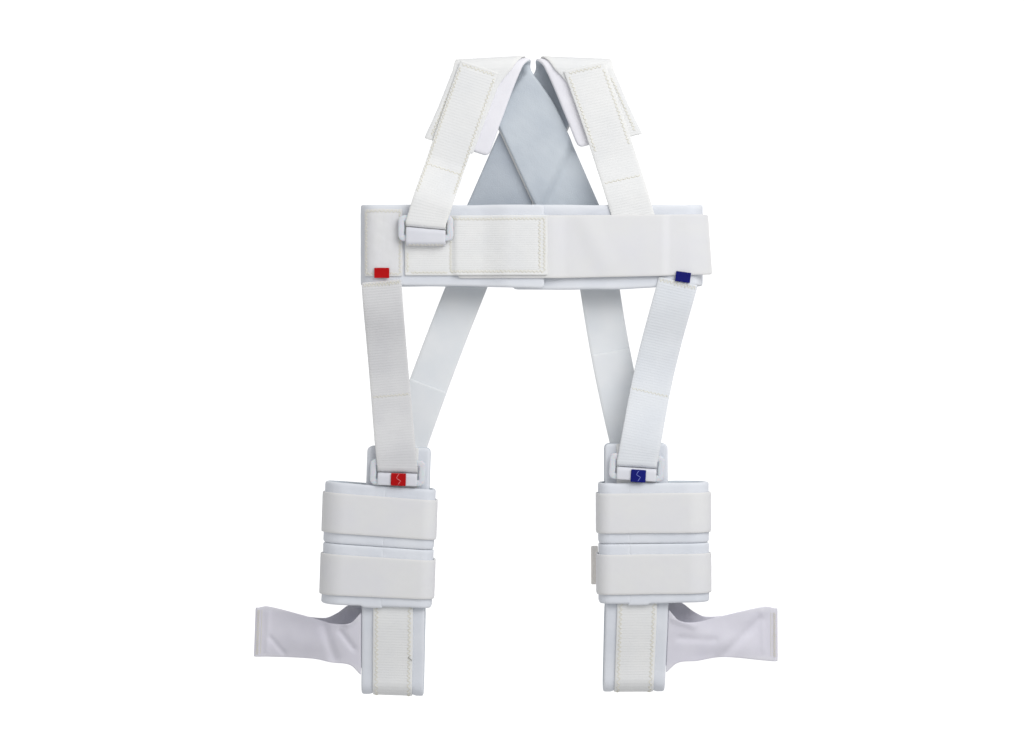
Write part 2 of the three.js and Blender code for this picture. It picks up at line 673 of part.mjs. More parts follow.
// One cuff: a felt pad and the smooth band round it. The tilts are those of its two edges.
function cuff(name, { side }, bottom, top, tilts) {
  const tilt = (x, y) => x * lerp(tilts[0], tilts[1], clamp((y - bottom) / (top - bottom), 0, 1));
  const bandInset = (top - bottom - NARROW_STRAP) / 2;
  const build = (suffix, finish, route, faces, inset) => {
    const signed = side < 0 ? { low: -faces.high, high: -faces.low } : faces;
    const mesh = strip(name + suffix, finish, mirrored(route, side), {
      ...signed,
      edges: () => ({ from: bottom + inset, to: top - inset }),
      across: true,
    });
    const position = mesh.geometry.getAttribute("position");
    for (let i = 0; i < position.count; i++)
      position.setY(i, position.getY(i) + tilt(position.getX(i), position.getY(i)));
    return mesh;
  };
  return [
    build("_pad", "felt", cuffRoute(-0.2 * CUFF_WIDTH, true), centred(FELT), 0),
    build("_band", "smooth", cuffRoute(0.1 * CUFF_WIDTH, false), outside(FELT, SMOOTH), bandInset),
  ];
}

// The heel cloth: out from the stirrup's front, round a flat seam, and back along the surface
function heelBand(name, { side }) {
  const edge = stirrupMiddle + STIRRUP_WIDTH / 2 + GAP;
  const end = edge + HEEL_REACH;
  const turnRadius = KNIT / 2 + GAP / 2;
  const seamLevel = KNIT + GAP / 2;
  const top = -cuffTop - 2 * GAP;
  const route = new Route(edge, seamLevel + turnRadius, 0)
    .to(end - turnRadius - KNIT / 2, seamLevel + turnRadius, 1, 12)
    .fold(end - turnRadius - KNIT / 2, seamLevel, -180, 1, 4)
    .to(edge, seamLevel - turnRadius, 2, 8);
  const flat = seamLevel;
  const lift = (x, y, z) => {
    const share = clamp((Math.abs(x) - edge) / HEEL_REACH, 0, 1);
    if (z < flat) return (rearFloor - KNIT / 2) * (1 - ease(share / 0.2));
    const rise = (stirrupFront(y) - seamLevel - turnRadius) * (1 - ease(share));
    const ripple = Math.sin(((y - top) / HEEL_HEIGHT) * 2.4 * Math.PI + share * 3);
    return rise + HEEL_RIPPLE * ripple * Math.sin(Math.PI * share) ** 2;
  };
  const edges = (at) => ({
    from: top + HEEL_HEIGHT * read(HEEL_EDGES, "bottom", at),
    to: top + HEEL_HEIGHT * read(HEEL_EDGES, "top", at),
  });
  const shape = { ...centred(KNIT), edges, lanes: 7, lift, across: true };
  return strip("heel_band_" + name, "knit", mirrored(route, side), shape);
}

function buildBoot(options) {
  const { name, side, drop, turn, ringTurn, upper, slit, lower } = options;
  const group = new THREE.Group();
  group.position.set((side * BOOT_SPREAD) / 2, -BOOT_DROP - drop, 0);
  group.rotation.z = degToRad(turn);
  const route = stirrupRoute();
  const middle = side * stirrupMiddle;
  const felt = { ...centred(FELT), edges: () => around(middle, STIRRUP_WIDTH) };
  const webbing = { ...outside(FELT, WEBBING), edges: () => around(middle, NARROW_STRAP) };
  group.add(strip("stirrup_pad_" + name, "felt", route, felt));
  group.add(strip("stirrup_webbing_" + name, "webbing", route, webbing));
  group.add(...cuff("upper_cuff_" + name, options, CUFF_SLIT / 2, cuffTop, [slit, upper]));
  group.add(...cuff("lower_cuff_" + name, options, -cuffTop, -CUFF_SLIT / 2, [lower, slit]));
  group.add(heelBand(name, options));
  const rings = bootRings(options);
  for (const [place, seat] of Object.entries(rings)) {
    group.add(ring(place + "_ring_" + name, seat));
    group.add(ringTab(place + "_ring_tab_" + name, seat, 0, 0));
  }
  const colour = side < 0 ? "red" : "blue";
  group.add(mark("boot_tab_" + colour, colour, {
    x: middle,
    y: ringSeat - RING_HEIGHT / 2 + BOOT_MARK_HEIGHT / 2,
    level: frontRingPile.over.high,
    height: BOOT_MARK_HEIGHT,
    turn: ringTurn,
  }));
  return group;
}

function bootRings({ side, ringTurn }) {
  const seat = { x: side * stirrupMiddle, y: ringSeat };
  const rise = Math.sin(degToRad(Math.abs(ringTurn))) * (RING_WIDTH / 2 - RING_CORNER);
  return {
    front: { ...seat, y: ringSeat + rise, turn: ringTurn, levels: frontRingPile, face: 1 },
    rear: { ...seat, turn: 0, levels: rearEar, face: -1 },
  };
}

// A boot's ring as the leg strap meets it, in the frame of the whole harness
function ringInHarness(options, place) {
  const seat = bootRings(options)[place];
  const at = new THREE.Vector2(seat.x, seat.y).rotateAround(new THREE.Vector2(), degToRad(options.turn));
  return {
    x: at.x + (options.side * BOOT_SPREAD) / 2,
    y: at.y - BOOT_DROP - options.drop,
    turn: options.turn + seat.turn,
    levels: seat.levels,
  };
}

function legStrap({ name, boot: index, face, place, sag, tail, bow }) {
  const target = ringInHarness(BOOTS[index], face > 0 ? "front" : "rear");
  const onChest = face > 0 ? onUnder.webbing.middle : rearEar.over.middle;
  const startY = face > 0 ? -CHEST_HEIGHT / 2 + LEG_STRAP_LAP : -REAR_STRAP_START;
  const start = { x: placeX(place), y: startY, height: onChest };
  const heights = [
    { at: 0, height: onChest },
    { at: 0.06, height: onChest },
    { at: 0.45, height: onChest - sag },
  ];
  return ringStrap(name, { start, heights, target, tail, bow, face, slant: Math.tan(degToRad(target.turn)) });
}

const harness = new THREE.Group();
harness.add(chestPad(), chestWebbing(), chestClosure(), pilePatch());
harness.add(...SHOULDERS.flatMap(shoulder), leftShoulderStrap(), rightShoulderStrap());
harness.add(ring("chest_ring", chestRing));
harness.add(ringTab("chest_ring_tab", chestRing, CHEST_TAB_FOOT, CHEST_LOOP_SLANT));
harness.add(...BOOTS.map(buildBoot), ...LEG_STRAPS.map(legStrap));
harness.add(mark("chest_tab_red", "red", {
  x: placeX("redMark"),
  y: -RED_MARK_DROP,
  level: chest.under.high + GAP + PATCH,
}));
harness.add(mark("chest_tab_blue", "blue", {
  x: placeX("blueMark"),
  y: -BLUE_MARK_DROP,
  level: onUnder.webbing.high,
  turn: BLUE_MARK_TURN,
}));

// The origin is the middle of the footprint, on the surface that the harness lies on
const bounds = new THREE.Box3().setFromObject(harness);
const footprint = bounds.getCenter(new THREE.Vector3());
harness.position.set(-footprint.x, -footprint.y, -bounds.min.z);

export default harness;
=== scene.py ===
"""Looks of an infant hip harness that lies flat on its back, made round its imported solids.

X runs across the chest, Y from the boots towards the shoulders and Z up from the surface. Lengths are in
millimetres until a mesh is made. A place that is given without more words is in the harness's own frame:
x is 0 between the boots and y is 0 along the middle of the chest band.
"""

import logging
import math
from collections.abc import Callable, Iterable, Sequence
from dataclasses import dataclass, field
from enum import Enum

import bpy
import numpy as np
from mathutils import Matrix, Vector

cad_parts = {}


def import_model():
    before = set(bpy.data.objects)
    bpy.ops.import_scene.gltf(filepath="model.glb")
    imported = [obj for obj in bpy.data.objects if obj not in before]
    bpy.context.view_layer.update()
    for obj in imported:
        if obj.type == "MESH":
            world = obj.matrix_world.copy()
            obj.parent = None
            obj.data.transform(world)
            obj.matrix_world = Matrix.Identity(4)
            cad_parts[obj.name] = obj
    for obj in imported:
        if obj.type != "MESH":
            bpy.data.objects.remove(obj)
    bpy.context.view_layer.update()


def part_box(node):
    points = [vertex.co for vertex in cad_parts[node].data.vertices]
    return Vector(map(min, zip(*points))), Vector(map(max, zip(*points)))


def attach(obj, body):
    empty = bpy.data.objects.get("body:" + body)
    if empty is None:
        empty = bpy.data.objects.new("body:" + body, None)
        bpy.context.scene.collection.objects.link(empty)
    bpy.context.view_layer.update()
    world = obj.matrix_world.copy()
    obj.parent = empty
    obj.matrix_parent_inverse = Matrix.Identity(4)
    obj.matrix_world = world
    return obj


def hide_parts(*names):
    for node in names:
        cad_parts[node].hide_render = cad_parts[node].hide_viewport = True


LOG = logging.getLogger("harness")
MILLIMETRE = 0.001

Array = np.ndarray
Pair = tuple[float, float]
Triple = tuple[float, float, float]
Edges = tuple[Array, Array, Array | float]
EdgeReader = Callable[[Array], Edges]
Lift = Callable[[Array, Array, Array], Array]
Place = Callable[[Array], Array]
Rgb = tuple[int, int, int]
Object = bpy.types.Object
Socket = bpy.types.NodeSocket

# Thickness of each cloth, and the clearance between pieces
FELT = 3.0
WEBBING = 1.3
SMOOTH = 1.2
KNIT = 1.2
RIBBON = 1.0
PATCH = 1.0
GAP = 0.3

# Widths of the straps
WIDE_STRAP = 38.1
NARROW_STRAP = 25.4
PAD_WIDTH = 40.0
STIRRUP_WIDTH = 40.0


class Side(Enum):
    """The picture's left or right, as a sign along X."""

    LEFT = -1
    RIGHT = 1

    @property
    def word(self) -> str:
        """The side as it stands in the names of pieces."""
        return self.name.lower()

    def pick(self, left: object, right: object) -> object:
        """The first value on the left side and the second on the right."""
        return left if self is Side.LEFT else right


class Skin(Enum):
    """One of a sheet's two faces: OUT lies to the left of its route and IN to the right."""

    OUT = 1
    IN = -1


def ease(share: Array | float) -> Array:
    """A smooth step from 0 to 1.

    Args:
        share: how far along the step, clamped to 0 and 1.

    Returns:
        The eased share.
    """
    held = np.clip(share, 0.0, 1.0)
    return held * held * (3 - 2 * held)


def lerp(start: Array | float, end: Array | float, share: Array | float) -> Array:
    """The value a share of the way from start to end."""
    return start + (end - start) * share


def turned(points: Array, degrees: float) -> Array:
    """Points turned about the Z axis.

    Args:
        points: an array whose last axis is x, y, z.
        degrees: how far they turn.

    Returns:
        A new array of the same shape.
    """
    cos, sin = math.cos(math.radians(degrees)), math.sin(math.radians(degrees))
    turned_points = points.copy()
    turned_points[..., 0] = cos * points[..., 0] - sin * points[..., 1]
    turned_points[..., 1] = sin * points[..., 0] + cos * points[..., 1]
    return turned_points


def unevenness(x: Array, y: Array, length: float, seed: int) -> Array:
    """Soft irregular waves, as hand-laid cloth has.

    Args:
        x: places along the first axis.
        y: places along the second axis.
        length: the longest wave, in millimetres.
        seed: which of the patterns it is.

    Returns:
        Heights from about -1 to 1.
    """
    draw = np.random.default_rng(seed)
    total = np.zeros(np.broadcast(x, y).shape)
    for octave in (1.0, 1.9, 3.3):
        for _ in range(3):
            angle, phase = draw.uniform(0, 2 * math.pi, 2)
            wave = 2 * math.pi * octave / length
            total += np.sin(wave * (math.cos(angle) * x + math.sin(angle) * y) + phase) / octave
    return total / 4


@dataclass(frozen=True)
class Table:
    """A table of measures at marks along a strip, read as smooth curves."""

    at: tuple[float, ...]
    columns: dict[str, tuple[float, ...]]

    def read(self, column: str, marks: Array) -> Array:
        """Reads one column.

        Args:
            column: which column.
            marks: where to read it.

        Returns:
            The column's value at each mark.
        """
        at, values = np.array(self.at), np.array(self.columns[column])
        held = np.clip(marks, at[0], at[-1])
        after = np.clip(np.searchsorted(at, held, side="right"), 1, len(at) - 1)
        ahead = np.minimum(np.arange(len(at)) + 1, len(at) - 1)
        behind = np.maximum(np.arange(len(at)) - 1, 0)
        slopes = (values[ahead] - values[behind]) / (at[ahead] - at[behind])
        span = at[after] - at[after - 1]
        share = (held - at[after - 1]) / span
        bend = share * (1 - share) * span * ((1 - share) * slopes[after - 1] - share * slopes[after])
        return lerp(values[after - 1], values[after], ease(share)) + bend


class Route:
    """The side view of a strip: how far each point has run, its height and its mark in the plan."""

    STEP = 0.4

    def __init__(self, run: float, height: float, mark: float = 0.0) -> None:
        """Starts the route at one point."""
        self.points: list[Triple] = [(run, height, mark)]

    def add(self, run: float, height: float, mark: float) -> "Route":
        """Adds one point and returns the route."""
        self.points.append((float(run), float(height), float(mark)))
        return self

    def to(self, run: float, height: float, mark: float) -> "Route":
        """Runs on to a point, easing from one height to the other, and returns the route."""
        run_from, height_from, mark_from = self.points[-1]
        count = max(1, math.ceil(math.hypot(run - run_from, height - height_from) / self.STEP))
        for share in np.linspace(0, 1, count + 1)[1:]:
            self.add(
                lerp(run_from, run, share), lerp(height_from, height, ease(share)),
                lerp(mark_from, mark, share),
            )
        return self

    def fold(self, run: float, height: float, degrees: float, mark: float) -> "Route":
        """Swings round a centre.

        Args:
            run: the centre's run.
            height: the centre's height.
            degrees: how far it swings, counter-clockwise in the side view.
            mark: the mark at the end of the swing.

        Returns:
            The route.
        """
        run_from, height_from, mark_from = self.points[-1]
        arm = complex(run_from - run, height_from - height)
        count = max(6, math.ceil(abs(arm) * math.radians(abs(degrees)) / self.STEP))
        for share in np.linspace(0, 1, count + 1)[1:]:
            swung = arm * np.exp(1j * math.radians(degrees * share))
            self.add(run + swung.real, height + swung.imag, lerp(mark_from, mark, share))
        return self

    def mirrored(self, side: Side) -> "Route":
        """The route with its runs on the other hand where the side is the left."""
        copy = Route(*self.points[0])
        copy.points = [(side.value * run, height, mark) for run, height, mark in self.points]
        return copy


def around(middle: Array | float, width: Array | float, slant: Array | float = 0.0) -> Edges:
    """The two edges that lie round a middle, with their slant."""
    return middle - width / 2, middle + width / 2, slant


def steady(low: float, high: float) -> EdgeReader:
    """Edges that stay where they are all along a strip."""
    return lambda marks: (np.full_like(marks, low), np.full_like(marks, high), 0.0)


def centred(thickness: float) -> Pair:
    """How far the two faces of the layer on a route lie out from it."""
    return -thickness / 2, thickness / 2


def outside(inner: float, thickness: float) -> Pair:
    """How far the faces of a layer lie out from a route when it lies on the one round the route."""
    return inner / 2 + GAP, inner / 2 + GAP + thickness


def inside(inner: float, thickness: float) -> Pair:
    """The same as outside, on the other face of the layer on the route."""
    low, high = outside(inner, thickness)
    return -high, -low


@dataclass(frozen=True)
class Level:
    """The bottom and the top of one layer."""

    low: float
    high: float

    @property
    def middle(self) -> float:
        """Half way up the layer."""
        return (self.low + self.high) / 2


def pile(bottom: float, **layers: float) -> dict[str, Level]:
    """Levels of a pile of layers, with the clearance between them.

    Args:
        bottom: where the lowest layer starts.
        **layers: each layer's thickness, from the bottom up.

    Returns:
        The level of each layer, by name.
    """
    levels = {}
    for name, thickness in layers.items():
        levels[name] = Level(bottom, bottom + thickness)
        bottom += thickness + GAP
    return levels


# Levels of the piles that the pieces lie in
PAD = pile(0, webbing=WEBBING, felt=FELT)
CHEST = pile(PAD["felt"].high + GAP, back=FELT, body=12.0, under=FELT, over=FELT)
ON_UNDER = Level(CHEST["under"].high + GAP, CHEST["under"].high + GAP + WEBBING)
BOOT = pile(
    0, back_band=SMOOTH, back_pad=FELT, rear_webbing=WEBBING, rear_felt=FELT, leg=12.0, front_felt=FELT,
    front_webbing=WEBBING, front_pad=FELT, front_band=SMOOTH,
)
RING_THICKNESS = 2.2
CHEST_RING_PILE = pile(ON_UNDER.high + GAP, under=WEBBING, ring=RING_THICKNESS, over=WEBBING)
FRONT_RING_PILE = pile(BOOT["front_webbing"].high + GAP, under=WEBBING, ring=RING_THICKNESS, over=WEBBING)
REAR_EAR = pile(0, over=WEBBING, ring=RING_THICKNESS, under=WEBBING, webbing=WEBBING, felt=FELT)


class Weave(Enum):
    """The relief of a cloth's face: its rib pitch and rib height, along (u) or across (v) the strip."""

    PLAIN = (0.0, 0.0, "u")
    CROSS_RIBS = (1.7, 0.15, "u")
    LONG_RIBS = (1.45, 0.14, "v")

    def relief(self, along: Array, across: Array) -> Array:
        """The height of the ribs at each place of a face."""
        pitch, height, axis = self.value
        flat = np.zeros(np.broadcast(along, across).shape)
        if pitch == 0:
            return flat
        phase = (along if axis == "u" else across) / pitch
        return height * (np.abs(np.sin(np.pi * phase)) - 1) + flat


def off_line(start: Pair, end: Pair, x: Array, y: Array) -> Array:
    """How far each place lies from the line between two points."""
    line = np.subtract(end, start)
    share = ((x - start[0]) * line[0] + (y - start[1]) * line[1]) / (line @ line)
    held = np.clip(share, 0, 1)
    return np.hypot(x - start[0] - held * line[0], y - start[1] - held * line[1])


@dataclass(frozen=True)
class Crease:
    """A soft ridge or dent in cloth, along a line from start to end."""

    start: Pair
    end: Pair
    width: float
    height: float

    def rise(self, x: Array, y: Array) -> Array:
        """How far it lifts the cloth at each place."""
        return self.height * np.exp(-((off_line(self.start, self.end, x, y) / self.width) ** 2))


@dataclass(frozen=True)
class Seam:
    """A straight line of stitches on a sheet, from and to places (along, across) in millimetres."""

    start: Pair
    end: Pair
    pitch: float = 2.5
    width: float = 2.0

    def dimple(self, along: Array, across: Array) -> Array:
        """How far the seam draws the cloth's face in at each place."""
        return 0.18 * np.exp(-((off_line(self.start, self.end, along, across) / 1.3) ** 2))


def box_seam(along: Pair, across: Pair) -> list[Seam]:
    """Four seams round a rectangle of a sheet."""
    (a, b), (c, d) = along, across
    corners = [(a, c), (b, c), (b, d), (a, d)]
    return [Seam(corners[i], corners[(i + 1) % 4]) for i in range(4)]


@dataclass
class Sheet:
    """A sheet of cloth laid along a route, with rounded rims, ribs and the dimples of its seams."""

    route: Route
    faces: Pair
    edges: EdgeReader
    pitch: float = 1.2
    lane: float = 1.6
    across: bool = False
    lift: Lift | None = None
    weave: Weave = Weave.PLAIN
    corner: float = 1.0
    fuzz: float = 0.05
    scallop: float = 0.0
    seed: int = 1
    seams: list[Seam] = field(default_factory=list)
    place: Place | None = None
    WIDEST_RIM = 1.5
    FUZZ_WAVE = 9.0

    def __post_init__(self) -> None:
        """Cuts the route into rows and the width into lanes, and lays both skins."""
        points = np.array(self.route.points)
        steps = np.hypot(np.diff(points[:, 0]), np.diff(points[:, 1]))
        lengths = np.concatenate([[0.0], np.cumsum(steps)])
        self.length = float(lengths[-1])
        thickness = self.faces[1] - self.faces[0]
        rim = min(thickness / 2, self.WIDEST_RIM)
        self.along = self._spaced(self.length, self.pitch, max(rim, self.corner))
        self.run, self.height, self.mark = (np.interp(self.along, lengths, points[:, i]) for i in range(3))
        low, high, slant = self.edges(self.mark)
        slant = np.broadcast_to(slant, low.shape)
        self.width = high - low
        wide = float(self.width.mean())
        lanes = self._spaced(wide, self.lane, rim)
        share = lanes / wide
        ends = np.minimum(self.along, self.length - self.along)
        missing = np.clip(self.corner - ends, 0, self.corner)
        inset = self.corner - np.sqrt(np.maximum(self.corner**2 - missing**2, 0))
        middle = (low + high) / 2
        narrow = self.width - 2 * inset
        self.offsets = (share[None, :] - 0.5) * narrow[:, None]
        if self.scallop:
            tooth = np.abs(np.sin(np.pi * self.along / self.weave.value[0]))
            self.offsets *= 1 + (2 * self.scallop / wide) * (tooth[:, None] - 0.5)
        side = middle[:, None] + self.offsets
        rims = np.minimum(np.minimum(share, 1 - share)[None, :] * wide, ends[:, None])
        profile = np.sqrt(np.clip(1 - np.clip(1 - rims / rim, 0, 1) ** 2, 0, 1))
        out_run, out_height = self._outward()
        rows = self.along[:, None]
        fuzz = self.fuzz * unevenness(rows, self.offsets * 1.3, self.FUZZ_WAVE, self.seed)
        ribs = self.weave.relief(rows, self.offsets) + fuzz
        for seam in self.seams:
            ribs = ribs - seam.dimple(rows, self.offsets)
        self.skins = {}
        middle_face = sum(self.faces) / 2
        for skin in Skin:
            face = middle_face + skin.value * profile * (thickness / 2 + ribs)
            along = self.run[:, None] + out_run[:, None] * face + slant[:, None] * self.offsets
            z = self.height[:, None] + out_height[:, None] * face
            x, y = (along, side) if self.across else (side, along)
            if self.lift:
                z = z + self.lift(x, y, z)
            grid = np.stack(np.broadcast_arrays(x, y, z), axis=-1)
            self.skins[skin] = self.place(grid) if self.place else grid

    @staticmethod
    def _spaced(length: float, pitch: float, rim: float) -> Array:
        """Even places along a length, with closer ones near its two rims.

        Args:
            length: the whole length.
            pitch: the distance between places.
            rim: how far the closer ones reach.

        Returns:
            The places, from 0 to the length.
        """
        near = rim * np.array([0.0, 0.07, 0.25, 0.55])
        even = np.arange(pitch, length - pitch / 2, pitch)
        even = even[(even > rim * 0.8) & (even < length - rim * 0.8)]
        return np.unique(np.concatenate([near, even, length - near]))

    def _outward(self) -> tuple[Array, Array]:
        """The direction to the left of the route at each row, as parts along the run and the height."""
        run = np.gradient(self.run, self.along)
        height = np.gradient(self.height, self.along)
        size = np.hypot(run, height)
        return -height / size, run / size

    def flat(self) -> Pair:
        """The width and length that the sheet is cut to, in metres."""
        return float(self.width.mean()) * MILLIMETRE, self.length * MILLIMETRE

    def along_at(self, run: float, last: bool = False) -> float:
        """How far along the sheet a run is reached, for the first or the last time."""
        passed = (self.run[:-1] - run) * (self.run[1:] - run) <= 0
        rows = np.flatnonzero(passed)
        row = rows[-1] if last else rows[0]
        share = (run - self.run[row]) / (self.run[row + 1] - self.run[row] + 1e-9)
        return float(lerp(self.along[row], self.along[row + 1], np.clip(share, 0, 1)))

    def on(self, along: Array, across: Array, skin: Skin) -> Array:
        """Points on one of the sheet's faces.

        Args:
            along: how far along the sheet each point is.
            across: how far it is from the sheet's middle.
            skin: which face.

        Returns:
            An array of points.
        """
        grid = self.skins[skin]
        row = np.clip(np.interp(along, self.along, np.arange(len(self.along))), 0, len(self.along) - 1.001)
        first = row.astype(int)
        columns = grid.shape[1]
        lane = np.empty_like(row)
        for i, (r, v) in enumerate(zip(first, across, strict=True)):
            lane[i] = np.interp(v, self.offsets[r], np.arange(columns))
        lane = np.clip(lane, 0, columns - 1.001)
        left = lane.astype(int)
        s, t = (row - first)[:, None], (lane - left)[:, None]
        near = lerp(grid[first, left], grid[first, left + 1], t)
        far = lerp(grid[first + 1, left], grid[first + 1, left + 1], t)
        return lerp(near, far, s)

    def mesh_data(self) -> tuple[Array, Array, Array, Array]:
        """The closed mesh of both skins, which share their rim.

        Returns:
            Points, quads, the place of each point on the cloth, and the skin of each quad (0 is OUT).
        """
        rows, columns = self.offsets.shape
        count = rows * columns
        index = np.arange(count).reshape(rows, columns)
        under = index + count
        rim = np.ones_like(index, bool)
        rim[1:-1, 1:-1] = False
        under[rim] = index[rim]
        used = np.unique(under[~rim])
        renumber = np.arange(2 * count)
        renumber[used] = count + np.arange(len(used))
        under = renumber[under]
        points = np.concatenate(
            [self.skins[Skin.OUT].reshape(-1, 3), self.skins[Skin.IN].reshape(-1, 3)[used - count]]
        )
        points[index[rim]] = (self.skins[Skin.OUT][rim] + self.skins[Skin.IN][rim]) / 2
        spots = np.stack([np.broadcast_to(self.along[:, None], self.offsets.shape), self.offsets], axis=-1)
        spots = spots.reshape(-1, 2)
        spots = np.concatenate([spots, spots[used - count]])

        def quads(grid: Array, flipped: bool) -> Array:
            a, b, c, d = grid[:-1, :-1], grid[1:, :-1], grid[1:, 1:], grid[:-1, 1:]
            order = (a, d, c, b) if flipped else (a, b, c, d)
            return np.stack(order, axis=-1).reshape(-1, 4)

        faces = np.concatenate([quads(index, False), quads(under, True)])
        corners = points[faces]
        size = np.einsum("ij,ij->i", corners[:, 0], np.cross(corners[:, 1], corners[:, 2])).sum()
        size += np.einsum("ij,ij->i", corners[:, 0], np.cross(corners[:, 2], corners[:, 3])).sum()
        if size < 0:
            faces = faces[:, ::-1]
        skin = np.repeat([0, 1], len(faces) // 2)
        return points, faces, spots, skin


@dataclass(frozen=True)
class Thread:
    """Sewing thread: a zigzag of round thread that dips into the cloth at each turn."""

    radius: float = 0.22
    sides: int = 5
    arch: float = 0.22
    sink: float = 0.12

    def path(self, sheet: Sheet, seam: Seam, skin: Skin) -> tuple[Array, Array]:
        """The thread's middle line.

        Args:
            sheet: the cloth that it is sewn through.
            seam: where it runs.
            skin: the face that shows it.

        Returns:
            The points of the line, and the cloth's normal at each.
        """
        line = np.subtract(seam.end, seam.start)
        size = float(np.hypot(*line))
        turns = max(2, round(2 * size / seam.pitch))
        share = np.linspace(0, 1, 3 * turns + 1)
        leg = np.arange(len(share)) / 3
        zigzag = np.abs((leg % 2) - 1) * 2 - 1
        across = np.array([-line[1], line[0]]) / size
        zigzag *= 0.85 + 0.3 * unevenness(share * size, share * 0, 4.0, turns)
        spot = np.array(seam.start) + share[:, None] * line + (zigzag * seam.width / 2)[:, None] * across
        x, y, near = spot[:, 0], spot[:, 1], 0.5
        points = sheet.on(x, y, skin)
        ahead = sheet.on(x + near, y, skin) - sheet.on(x - near, y, skin)
        beside = sheet.on(x, y + near, skin) - sheet.on(x, y - near, skin)
        normal = np.cross(ahead, beside)
        normal /= np.linalg.norm(normal, axis=1, keepdims=True) + 1e-9
        away = points - sheet.on(x, y, Skin(-skin.value))
        normal *= np.sign(np.einsum("ij,ij->i", normal, away))[:, None]
        bow = np.sin(np.pi * (leg % 1))
        height = self.arch * bow - self.sink * (bow < 0.01)
        return points + normal * height[:, None], normal

    def tube(self, points: Array, normals: Array) -> tuple[Array, Array]:
        """A closed round tube along a line.

        Args:
            points: the line.
            normals: a direction at each point that the tube keeps its seam along.

        Returns:
            Points and quads; the ends close to a point each.
        """
        forward = np.gradient(points, axis=0)
        forward /= np.linalg.norm(forward, axis=1, keepdims=True) + 1e-9
        sideways = np.cross(forward, normals)
        sideways /= np.linalg.norm(sideways, axis=1, keepdims=True) + 1e-9
        up = np.cross(sideways, forward)
        angles = np.linspace(0, 2 * math.pi, self.sides, endpoint=False)
        cos, sin = np.cos(angles)[None, :, None], np.sin(angles)[None, :, None]
        ring = cos * sideways[:, None, :] + sin * up[:, None, :]
        radii = np.full(len(points), self.radius)
        radii[[0, -1]] = 0.3 * self.radius
        body = points[:, None, :] + radii[:, None, None] * ring
        index = np.arange(len(points) * self.sides).reshape(len(points), self.sides)
        turned_index = np.roll(index, -1, axis=1)
        corners = [index[:-1], turned_index[:-1], turned_index[1:], index[1:]]
        return body.reshape(-1, 3), np.stack(corners, axis=-1).reshape(-1, 4)


def new_object(name: str, data: object) -> Object:
    """Makes an object and links it to the scene."""
    made = bpy.data.objects.new(name, data)
    bpy.context.scene.collection.objects.link(made)
    return made


def linear(colour: Rgb) -> tuple[float, float, float, float]:
    """A screen colour of 0 to 255 as linear values with an alpha of 1."""
    shares = [c / 255 for c in colour]
    curve = [s / 12.92 if s <= 0.04045 else ((s + 0.055) / 1.055) ** 2.4 for s in shares]
    return (*curve, 1.0)


class Graph:
    """The nodes of one material, round its main shader."""

    def __init__(self, name: str, **sockets: float | tuple) -> None:
        """Makes the material and sets its shader's own sockets, named with _ for a space."""
        self.material = bpy.data.materials.new(name)
        self.material.use_nodes = True
        self.tree = self.material.node_tree
        self.shader = self.tree.nodes["Principled BSDF"]
        for socket, value in sockets.items():
            self.shader.inputs[socket.replace("_", " ")].default_value = value

    def add(self, kind: str, inputs: dict | None = None, **settings: object) -> bpy.types.Node:
        """Adds a node.

        Args:
            kind: the node's type.
            inputs: values or sockets for its inputs, by name or number.
            **settings: its own settings.

        Returns:
            The node.
        """
        node = self.tree.nodes.new(kind)
        for setting, value in settings.items():
            setattr(node, setting, value)
        for socket, value in (inputs or {}).items():
            if isinstance(value, Socket):
                self.tree.links.new(value, node.inputs[socket])
            else:
                node.inputs[socket].default_value = value
        return node

    def maths(self, operation: str, *values: object) -> Socket:
        """The result of one sum on numbers or sockets."""
        return self.add("ShaderNodeMath", dict(enumerate(values)), operation=operation).outputs[0]

    def noise(self, scale: float, detail: float) -> Socket:
        """Noise from 0 to 1 in the piece's own place, by its scale in waves a metre."""
        place = self.add("ShaderNodeTexCoord").outputs["Object"]
        wanted = {"Vector": place, "Scale": scale, "Detail": detail}
        return self.add("ShaderNodeTexNoise", wanted).outputs["Fac"]

    def ramp(self, share: object, low: float, high: float, most: float) -> Socket:
        """Rises from 0 to most while the share goes from low to high."""
        wanted = {0: share, 1: low, 2: high, 3: 0.0, 4: most}
        return self.add("ShaderNodeMapRange", wanted, clamp=True).outputs[0]

    def mix(self, share: object, first: object, second: object) -> Socket:
        """A mix of two colours."""
        node = self.add("ShaderNodeMix", {0: share, 6: first, 7: second}, data_type="RGBA")
        return node.outputs[2]

    def cloth_place(self) -> tuple[Socket, Socket, Socket]:
        """How far along the cloth, how far across it and how near its rim a point is."""
        place = self.add("ShaderNodeAttribute", attribute_name="cloth").outputs["Vector"]
        parts = self.add("ShaderNodeSeparateXYZ", {0: place})
        return parts.outputs[0], parts.outputs[1], parts.outputs[2]

    def join(self, socket: Socket, name: str) -> None:
        """Links a socket to one of the shader's inputs."""
        self.tree.links.new(socket, self.shader.inputs[name])

    def raise_by(self, height: Socket, metres: float, strength: float) -> None:
        """Bumps the surface by a height from 0 to 1."""
        wanted = {"Height": height, "Distance": metres, "Strength": strength}
        self.join(self.add("ShaderNodeBump", wanted).outputs["Normal"], "Normal")


